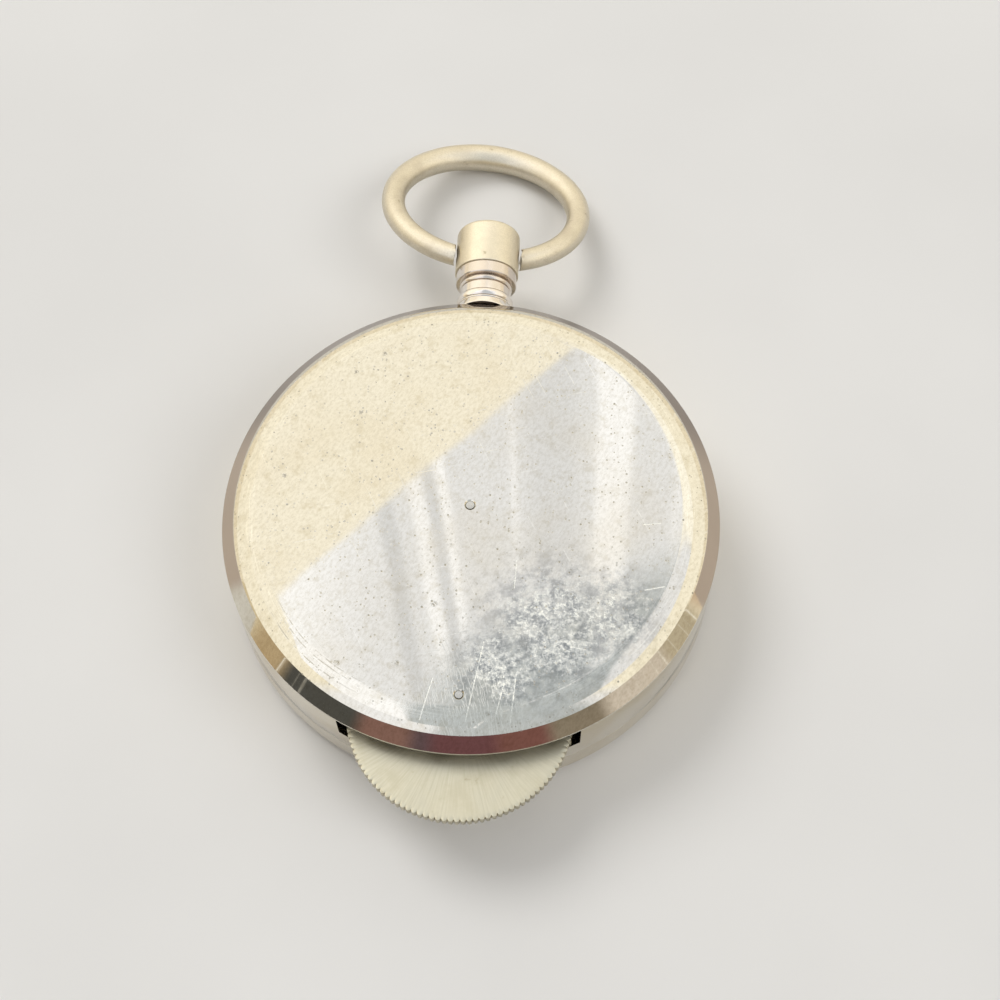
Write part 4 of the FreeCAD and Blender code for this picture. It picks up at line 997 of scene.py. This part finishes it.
@dataclass
class Pendant:
    """Neck and cap, turned about a line that runs out of the case along +Y."""

    start: float = 20.75
    height: float = 7.6
    stem: float = 1.4
    bore: float = 0.83
    base: Corner = (2.93, 2.74)
    base_length: float = 2.7
    groove: float = 2.3
    cap_radius: float = 3.11
    cap_length: float = 4.8
    neck_length: float = 6.47
    cap_turn_deg: float = 6.2
    pin_place: float = 2.21
    pin_hole: float = 0.64
    pin_floor: float = 1.92
    bore_depth: float = 1.93
    lathe: Lathe = field(init=False)
    cap_foot: Vector = field(init=False)
    pin_middle: Vector = field(init=False)
    cap_turn: Matrix = field(init=False)

    def __post_init__(self) -> None:
        """Work out the line that the pieces are turned about, and how the cap stands on it."""
        foot = CASE_AXIS + Vector((0, self.start, self.height))
        self.lathe = Lathe(foot, Vector((0, 1, 0)), Vector((0, 0, 1)))
        self.cap_foot = foot + Vector((0, self.neck_length, 0))
        self.pin_middle = self.cap_foot + Vector((0, self.pin_place, 0))
        self.cap_turn = Euler((0, math.radians(self.cap_turn_deg), 0)).to_matrix()

    def neck(self) -> Object:
        """Flared foot, two beads, a plain ring and a collar, saddled onto the case."""
        wall = Case.radius - self.start
        piece = self.lathe.turn([
            (self.bore, 0),
            (self.stem, 0),
            (self.stem, wall - 0.55),
            (self.base[0], wall - 0.55),
            (self.base[0], wall + 0.05),
            (self.base[0] - 0.04, wall + 0.18),
            (self.base[1] - 0.04, self.base_length - 0.2),
            *arc((self.base[1] - 0.08, self.base_length - 0.09), 0.09, -70, 90, 8),
            (self.groove, self.base_length),
            (self.groove, 2.82),
            (2.56, 2.82),
            *arc((2.269, 3.20), 0.491, -50, 50, 14),
            (2.56, 3.58),
            (2.44, 3.58),
            (2.48, 3.62),
            (2.48, 4.50),
            (2.44, 4.54),
            (self.groove, 4.54),
            (self.groove, 4.66),
            (2.38, 4.66),
            *arc((2.24, 4.96), 0.34, -61, 61, 12),
            (2.38, 5.26),
            (2.91, 5.26),
            (2.97, 5.32),
            (2.97, self.neck_length - 0.07),
            (2.90, self.neck_length),
            (self.bore, self.neck_length),
        ], 160)
        combine(piece, self.case_saddle())
        return finish_mesh(piece, "pendant_neck_turned")

    def case_saddle(self) -> Object:
        """The case's wall, as a tool that fits the neck's foot to it and leaves the stem."""
        inner, wall, top = 10.0, Case.radius + Case.fit, 14
        shell = Lathe(CASE_AXIS).turn([(inner, 0), (wall, 0), (wall, top), (inner, top)])
        return combine(shell, self.lathe.rod(self.stem, -12, 4, 160))

    def cap(self) -> Object:
        """Plain round cap with a blind hole on each side for the bow's pins."""
        edge, top_round = 0.08, 0.5
        piece = Lathe(self.cap_foot, self.lathe.along, self.lathe.across).turn([
            (0, self.bore_depth),
            (self.bore, self.bore_depth),
            (self.bore, 0),
            (self.cap_radius - edge - 0.3, 0),
            (self.cap_radius - edge, 0),
            *arc((self.cap_radius - edge, edge), edge, -90, 0, 5)[1:],
            (self.cap_radius, 0.4),
            (self.cap_radius, self.cap_length - top_round - 0.25),
            *arc((self.cap_radius - top_round, self.cap_length - top_round), top_round, 0, 90, 12),
            (self.cap_radius - top_round - 0.25, self.cap_length),
            (0, self.cap_length),
        ], 192)
        for side in (-1, 1):
            line = Lathe(self.pin_middle, self.cap_turn @ Vector((side, 0, 0)), Vector((0, 1, 0)))
            combine(piece, line.rod(self.pin_hole, self.pin_floor, 4, 48))
        return finish_mesh(piece, "pendant_cap_turned")

    def build(self) -> None:
        """Model both pieces and let them stand for their nodes."""
        turned = PolishedNickel(name="turned_nickel", metal="#e9e4de", tarnish="#c4b6a7",
                                roughness=0.10, haze=0.14)
        satin = SatinNickel("satin_nickel_cap", "#d6cdb9", "#c2b9a5", roughness=0.36)
        stand_for(self.neck(), "pendant_neck", turned.make(self.lathe.foot))
        stand_for(self.cap(), "pendant_cap", satin.make(self.lathe.foot))


@dataclass
class Bow:
    """The tapered ring that hangs from the cap by two pins."""

    half_width: float = 9.52
    half_length: float = 9.15
    aside: float = 0.3
    end_wire: float = 1.03
    top_wire: float = 1.38
    half_span: float = 3.31
    pin: float = 0.6
    pin_tip: float = 1.96
    pin_chamfer: float = 0.06
    end_round: float = 0.09
    lean_deg: float = -20.137
    steps: int = 132
    facets: int = 40

    def station(self, share: float) -> tuple[Vector, float, float]:
        """Return the wire's place, its heading and its radius at a share of the way round."""
        low = -math.acos((self.half_span - self.end_wire + self.aside) / self.half_width)
        high = math.pi + math.acos((self.half_span - self.end_wire - self.aside) / self.half_width)
        angle = low + (high - low) * share
        flank = self.half_length * self.half_span / self.half_width
        centre = Vector((-self.aside, math.sqrt(self.half_length ** 2 - flank ** 2), 0))
        arm = Vector((self.half_width * math.cos(angle), self.half_length * math.sin(angle), 0))
        heading = math.atan2(self.half_length * math.cos(angle),
                             -self.half_width * math.sin(angle))
        far = 1 - abs(angle - math.pi / 2) / (math.pi / 2 - low)
        return centre + arm, heading, self.end_wire + (self.top_wire - self.end_wire) * far

    def wire(self) -> Object:
        """Carry a round section along the oval, growing towards the far end."""
        place, heading, wire = self.station(0)
        piece = added(bpy.ops.mesh.primitive_circle_add, vertices=self.facets, radius=wire * MM,
                      fill_type="NGON", location=place * MM,
                      rotation=(math.pi / 2, 0, heading - math.pi / 2))
        bpy.ops.object.transform_apply()
        with editing(piece):
            for step in range(1, self.steps + 1):
                ahead, turned, grown = self.station(step / self.steps)
                bpy.ops.mesh.extrude_region_move(
                    TRANSFORM_OT_translate={"value": (ahead - place) * MM})
                bpy.ops.transform.rotate(value=heading - turned, orient_axis="Z",
                                         center_override=ahead * MM)
                bpy.ops.transform.resize(value=(grown / wire,) * 3, center_override=ahead * MM)
                place, heading, wire = ahead, turned, grown
        return piece

    def trim(self, piece: Object) -> None:
        """Cut the ring's ends flat beside the cap and soften the cut."""
        with editing(piece):
            for side in (-1, 1):
                pick(piece, Pick.FACES, lambda at, s=side: at.y < 4 and at.x * s > 0)
                bpy.ops.mesh.bisect(plane_co=(side * self.half_span * MM, 0, 0),
                                    plane_no=(side, 0, 0), use_fill=True, clear_inner=True)
            pick(piece, Pick.EDGES,
                 lambda at: at.y < 4 and abs(abs(at.x) - self.half_span) < 0.001)
            bpy.ops.mesh.bevel(offset=self.end_round * MM, segments=3, affect="EDGES")
            face_outwards()

    def build(self, pendant: Pendant) -> None:
        """Model the bow in its own frame, hang it from the cap and let it stand for its node."""
        piece = self.wire()
        self.trim(piece)
        for side in (-1, 1):
            line = Lathe(Vector(), Vector((side, 0, 0)), Vector((0, 1, 0)))
            reach = self.half_span + 0.5
            combine(piece, line.turn([
                (0, self.pin_tip), (self.pin - self.pin_chamfer, self.pin_tip),
                (self.pin, self.pin_tip + self.pin_chamfer), (self.pin, reach), (0, reach)], 48),
                Solids.WELD)
        piece.location = pendant.pin_middle * MM
        lean = Euler((math.radians(self.lean_deg), 0, 0)).to_matrix()
        piece.rotation_euler = (pendant.cap_turn @ lean).to_euler()
        finish_mesh(piece, "bow_ring")
        satin = SatinNickel("satin_nickel_bow", "#d1c9b7", "#bab09d")
        stand_for(piece, "bow", satin.make(pendant.pin_middle))


@dataclass
class TracingWheel:
    """The thin wheel whose milled edge rolls over the map."""

    tip: float = 9.95
    depth: float = 0.22
    lobe_power: float = 2.6
    teeth: int = 114
    points_per_tooth: int = 8
    low: float = 7.25
    thickness: float = 0.9
    chamfer: float = 0.03
    rings: tuple[float, ...] = (9.4, 8.85, 6.0, 1.83)

    def wheel(self) -> Object:
        """A disc from its rim inwards, raised to its thickness, then milled."""
        axis = WHEEL_AXIS + Vector((0, 0, self.low))
        count = self.teeth * self.points_per_tooth
        piece = added(bpy.ops.mesh.primitive_circle_add, vertices=count, radius=self.tip * MM,
                      location=axis * MM)
        bpy.ops.object.transform_apply()
        with editing(piece):
            radius = self.tip
            for ring in self.rings:
                bpy.ops.mesh.extrude_edges_move()
                bpy.ops.transform.resize(value=(ring / radius, ring / radius, 1),
                                         center_override=axis * MM)
                radius = ring
            take_all()
            bpy.ops.mesh.extrude_region_move(
                TRANSFORM_OT_translate={"value": (0, 0, self.thickness * MM)})
            self.mill(piece, axis)
            mid = self.low + self.thickness / 2
            pick(piece, Pick.EDGES, lambda at: (at - axis).xy.length > self.tip - 0.3
                 and abs(at.z - mid) > self.thickness / 2 - 0.01)
            bpy.ops.mesh.bevel(offset=self.chamfer * MM, segments=2, affect="EDGES")
            face_outwards()
        return finish_mesh(piece, "tracing_wheel_milled", 40.0)

    def mill(self, piece: Object, axis: Vector) -> None:
        """Draw the rim in between the teeth, so that each tooth is a low round lobe.

        Args:
            piece: the wheel, open in edit mode.
            axis: the wheel's centre at its lower face, in millimetres.
        """
        half = self.points_per_tooth // 2
        for offset in range(1, half + 1):
            share = offset / half
            root = self.tip - self.depth * share ** self.lobe_power

            def on_rim(at: Vector, wanted: int = offset) -> bool:
                """Tell whether a rim corner lies that many steps from its tooth's middle."""
                arm = (at - axis).xy
                if arm.length < self.tip - 0.1:
                    return False
                turn = math.atan2(arm.y, arm.x) / FULL_TURN * self.teeth * self.points_per_tooth
                step = round(turn) % self.points_per_tooth
                return min(step, self.points_per_tooth - step) == wanted

            pick(piece, Pick.CORNERS, on_rim)
            bpy.ops.transform.resize(value=(root / self.tip, root / self.tip, 1),
                                     center_override=axis * MM)

    def build(self) -> None:
        """Model the wheel and let it stand for its node."""
        satin = SatinNickel("satin_nickel_wheel", "#bfb9a4", "#aca58f", spread=0.12,
                            grain=Grain.RAYS, relief=0.0025)
        stand_for(self.wheel(), "tracing_wheel",
                  satin.make(WHEEL_AXIS + Vector((0, 0, self.low))))


@dataclass
class DialPrint:
    """Hundred divisions and plain numbers on the dial, read from the glass's side."""

    face: float = 3.55
    ink: float = 0.012
    outer: float = 18.7
    number_radius: float = 14.3
    number_size: float = 2.5
    line_width: float = 0.1
    lines: tuple[tuple[int, float, float], ...] = ((100, 1.3, 0.11), (20, 1.9, 0.16),
                                                   (10, 2.5, 0.26))

    def tick(self, count: int, length: float, width: float) -> Object:
        """One printed line, copied round the dial."""
        middle = CASE_AXIS + Vector((0, self.outer - length / 2, self.face - self.ink / 2))
        piece = block(middle, Vector((width, length, self.ink)))
        with editing(piece):
            bpy.ops.mesh.spin(steps=count, dupli=True, angle=FULL_TURN, center=CASE_AXIS * MM,
                              axis=(0, 0, 1))
            merge_doubles()
        return piece

    def number(self, value: int) -> Object:
        """One number, upright for a reader who looks at the glass."""
        turn = FULL_TURN * value / 100
        place = Vector((-math.sin(turn), math.cos(turn), 0)) * self.number_radius
        place += CASE_AXIS + Vector((0, 0, self.face - self.ink / 2))
        text = added(bpy.ops.object.text_add, location=place * MM, rotation=(0, math.pi, 0))
        text.data.body = str(value)
        text.data.size = self.number_size * MM
        text.data.align_x = text.data.align_y = "CENTER"
        text.data.extrude = self.ink / 2 * MM
        make_active(text)
        bpy.ops.object.convert(target="MESH")
        bpy.ops.object.transform_apply()
        return bpy.context.object

    def build(self) -> None:
        """Join ticks, ring and numbers to one printed piece on the case."""
        low, edge = self.face - self.ink, self.outer + self.line_width
        prints = [self.tick(*line) for line in self.lines]
        prints.append(Lathe(CASE_AXIS).turn([(self.outer, low), (edge, low), (edge, self.face),
                                             (self.outer, self.face)], 256))
        prints += [self.number(value) for value in range(0, 100, 10)]
        make_active(prints[0])
        for piece in prints:
            piece.select_set(True)
        bpy.ops.object.join()
        piece = finish_mesh(prints[0], "dial_scale")
        ink = Lacquer("printed_ink", "#16161a", "#24221f", 0.5).make(CASE_AXIS)
        piece.data.materials.clear()
        piece.data.materials.append(ink)
        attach(piece, "case")
        log.info("%s rides on the case", piece.name)


@dataclass
class Movement:
    """The train, plate and dial sheet inside the case, which keep their CAD shapes."""

    brass: tuple[str, str] = ("#c9a558", "#b38c42")
    steel: tuple[str, str, float] = ("#b9b7b0", "#9b9994", 0.2)

    def build(self) -> None:
        """Dress each inner node in the metal that it is made of."""
        groups = (
            ("front_plate plate_pillars centre_bush wheel_bush centre_gear centre_gear_hub "
             "pointer_boss", TurnedMetal("gilt_brass", *self.brass), CASE_AXIS),
            ("wheel_spacer tracing_wheel_hub", TurnedMetal("gilt_brass_hub", *self.brass),
             WHEEL_AXIS),
            ("plate_screws dial_screws centre_arbor pendant_screw",
             TurnedMetal("turned_steel", *self.steel), CASE_AXIS),
            ("wheel_arbor drive_pinion", TurnedMetal("turned_steel_arbor", *self.steel),
             WHEEL_AXIS),
            ("centre_washer", TurnedMetal("spring_bronze", "#a8783f", "#8a5f31"), CASE_AXIS),
            ("dial", Lacquer("dial_lacquer", "#efebe0", "#e2dac6"), CASE_AXIS),
            ("pointer", BluedSteel(), CASE_AXIS),
        )
        for nodes, finish, centre in groups:
            material = finish.make(centre)
            for node in nodes.split():
                dress(node, material)


# ---------------------------------------------------------------- studio

@dataclass
class Studio:
    """Pale floor, soft lamps, glowing cards seen in metal alone, and the camera."""

    eye: Vector = Vector((7.353, -67.772, 153.065))
    aim_deg: Vector = Vector((25.931, 0.591, 2.727))
    lens_mm: float = 63.01
    sensor_mm: float = 36.0
    floor_half: float = 1500.0
    card_height: float = 412.2
    card_half: float = 700.0
    card_middle: float = 200.0
    mirrored_middle: Vector = Vector((-20.9, 192.5, 0))
    ceiling_reach: float = 3.84
    ceiling_glow: float = 1.56
    fan_line: float = 11.2
    # Bands painted into the ceiling card's glow: place, half width and how much darker (negative:
    # lighter).
    folds: tuple[tuple[float, float, float], ...] = (
        (-7.9, 1.3, 0.24), (-4.7, 1.1, -0.32), (-3.3, 0.8, 0.20), (-2.2, 0.7, -0.36),
        (4.1, 0.5, -0.18), (7.4, 3.2, 0.13), (12.6, 2.0, -0.62), (18.4, 0.9, -0.18))
    bright_fold: float = 12.6
    low_tone: str = "#a9b1b8"
    horizon_radius: float = 360.0
    horizon_height: float = 400.0
    horizon_edge: float = 106.0
    horizon_glow: float = 1.45
    horizon_start: str = "#cdbfa2"
    horizon_tones: tuple[tuple[float, str], ...] = (
        (-76.0, "#b09c7c"), (-62.0, "#4c4c4a"), (-33.6, "#7d5f57"), (-17.0, "#5b4b50"),
        (-11.0, "#664447"), (10.0, "#75504b"), (27.0, "#857b6d"), (46.0, "#c9bfb4"),
        (70.0, "#b3a892"), (86.0, "#e6dcc6"))
    lamps: tuple[tuple[str, Corner3, float, float], ...] = (
        ("key", (-300, 254, 485), 31, 1.16), ("fill", (402, -142, 449), 34, 0.70))

    def camera(self) -> None:
        """Stand the camera where the object is seen from."""
        data = bpy.data.cameras.new("camera")
        data.lens = self.lens_mm
        data.sensor_width = self.sensor_mm
        data.clip_start = 1 * MM
        camera = bpy.data.objects.new("camera", data)
        camera.location = (CASE_AXIS + self.eye) * MM
        camera.rotation_euler = [math.radians(angle) for angle in self.aim_deg]
        bpy.context.scene.collection.objects.link(camera)
        bpy.context.scene.camera = camera

    def floor(self) -> None:
        """A plain pale floor that shows light and keeps the object's shadow."""
        floor = added(bpy.ops.mesh.primitive_plane_add, size=2 * self.floor_half * MM,
                      location=(0, 0, -0.01 * MM))
        floor.name = "floor"
        look = Shading("pale_floor", Vector())
        tone = look.blend(look.ramp(look.cloud(0.02, 3.0), 0.3, 0.7), "#e6e4e0", "#e1dfdb")
        floor.data.materials.append(look.surface(tone, 0.75, metallic=0.0))

    def hang(self, card: Object, material: bpy.types.Material) -> None:
        """Dress a card and let it be seen in polished metal alone."""
        card.name = material.name
        card.data.materials.append(material)
        card.visible_camera = card.visible_diffuse = card.visible_shadow = False
        card.visible_transmission = card.visible_volume_scatter = False

    def ceiling_card(self) -> None:
        """A large glowing card above, warm on one side and cool on the other, with soft darker and
        lighter bands painted into its glow.

        Places on it are named by the places on the case's back that mirror them.
        """
        card = added(bpy.ops.mesh.primitive_plane_add, size=2 * self.card_half * MM,
                     rotation=(math.pi, 0, 0),
                     location=(0, self.card_middle * MM, self.card_height * MM))
        bpy.ops.object.transform_apply()
        look = Shading("ceiling_card", CASE_AXIS + self.mirrored_middle)
        reach = 1 / self.ceiling_reach
        across, along, _ = look.parts(look.vector("MULTIPLY", look.place, (reach, reach, 0)))
        drape = (across - self.fan_line) / (along * 0.0132 + 1.0) + self.fan_line
        shade = look.ramp(across, -17.0, -5.0, 0.0, 0.36)
        # Bands painted into the glow, each darker or lighter, for the back's reflections.
        for place, half_width, darker in self.folds:
            shade = shade + look.ramp(abs(drape - place), half_width, 0.3 * half_width, 0.0, darker)
        border = along - (across * 1.04 + 7.6)
        rim = look.ramp(across, 20.6, 21.6) * look.ramp(along, -8.0, 0.0)
        tone = look.layers("#f6f8ff", (shade, "#adb0b7"),
                           (self.low_share(look, across, along, drape), self.low_tone),
                           (look.ramp(border, -0.35, 0.35), "#efeadd"), (rim, "#f8f5ec"))
        self.hang(card, look.glow(tone, self.ceiling_glow))

    def low_share(self, look: Shading, across: Value, along: Value, drape: Value) -> Value:
        """How far the card's glow is painted darker towards the front, where the bright band stays.

        Args:
            look: the card's nodes.
            across: place on the back, to the right.
            along: place on the back, towards the pendant.
            drape: place across the folds.

        Returns:
            The share of the dark tone.
        """
        front = (look.ramp(along - across * 0.5, -10.0, -18.0, 0.0, 0.85)
                 * look.ramp(across - along * 0.25, -0.25, 5.25))
        on_flat = look.ramp(along, -22.0, -20.0)
        to_right = look.largest(look.ramp(across, 20.5, 19.0), look.ramp(along, -20.0, -22.0))
        return (front * look.ramp(abs(drape - self.bright_fold), 0.6, 2.0, 0.3) * to_right
                * look.largest(on_flat, look.ramp(across + along * 0.7, 11.0, 6.0)))

    def horizon_card(self) -> None:
        """A curved glowing card all round, seen in metal alone: dark and tan tones low down,
        painted for the bevel to mirror, and pale above.
        """
        card = added(bpy.ops.mesh.primitive_circle_add, vertices=96,
                     radius=self.horizon_radius * MM, location=(0, 0, 0))
        with editing(card):
            bpy.ops.mesh.extrude_edges_move(
                TRANSFORM_OT_translate={"value": (0, 0, self.horizon_height * MM)})
        look = Shading("horizon_card", Vector())
        _, angle = look.polar()
        turn = angle + math.pi / 2
        tone = look.layers(self.horizon_start, *[
            (look.ramp(turn, math.radians(place) - 0.06, math.radians(place) + 0.06), hex_colour)
            for place, hex_colour in self.horizon_tones])
        # Pale streaks painted into the glow at the sides, for streaks of light in the bevel.
        sides = abs(turn) - 0.9
        streaks = look.cloud(1.0, 3.0, look.pair(angle * 26.0, 0.0))
        streaks = look.ramp(streaks, 0.55, 0.66, 0.0, 0.6) * look.ramp(sides, 0.0, 0.1)
        above = look.ramp(look.parts(look.place)[2], self.horizon_edge - 6, self.horizon_edge + 6)
        pale = look.blend(look.ramp(sides, -0.1, 0.1), "#eff1f8", "#f6f0e0")
        ahead = look.ramp(abs(turn - 0.28), 0.56, 0.38, 0.0, 0.8)
        tone = look.layers(tone, (streaks, "#f4f0e6"),
                           (above, look.blend(ahead, pale, self.low_tone)))
        self.hang(card, look.glow(tone, self.horizon_glow))

    def world(self) -> None:
        """An even pale room, a little brighter overhead, with a pale backdrop."""
        world = bpy.data.worlds.new("pale_room")
        bpy.context.scene.world = world
        look = Nodes(world)
        height = look.parts(look.add("TexCoord", result="Generated"))[2]
        share = look.add("MapRange", {"Value": height, "From Min": -0.1, "From Max": 0.9})
        room = look.add("Background", {"Color": look.blend(share, "#c9c7c3", "#f3f3f3"),
                                       "Strength": 0.55})
        backdrop = look.add("Background", {"Color": linear("#dfddd9")})
        seen = look.add("LightPath", result="Is Camera Ray")
        look.close(look.add("MixShader", {0: seen, 1: room, 2: backdrop}))

    def light(self) -> None:
        """A broad key from the upper left and a weaker fill from the right, both far away."""
        for name, place, breadth_deg, strength in self.lamps:
            data = bpy.data.lights.new(name, "SUN")
            data.energy = strength
            data.angle = math.radians(breadth_deg)
            lamp = bpy.data.objects.new(name, data)
            lamp.location = Vector(place) * MM
            lamp.rotation_euler = (-Vector(place)).to_track_quat("-Z", "Y").to_euler()
            bpy.context.scene.collection.objects.link(lamp)

    def build(self) -> None:
        """Set the stage."""
        for part in (self.camera, self.floor, self.ceiling_card, self.horizon_card, self.world,
                     self.light):
            part()
        bpy.context.scene.view_settings.view_transform = "Standard"


def main() -> None:
    """Build the sub-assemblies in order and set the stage."""
    logging.basicConfig(level=logging.INFO, format="%(name)s: %(message)s")
    pendant = Pendant()
    Case().build(pendant)
    pendant.build()
    Bow().build(pendant)
    for assembly in (TracingWheel(), DialPrint(), Movement(), Studio()):
        assembly.build()


if __name__ == "__main__":
    main()
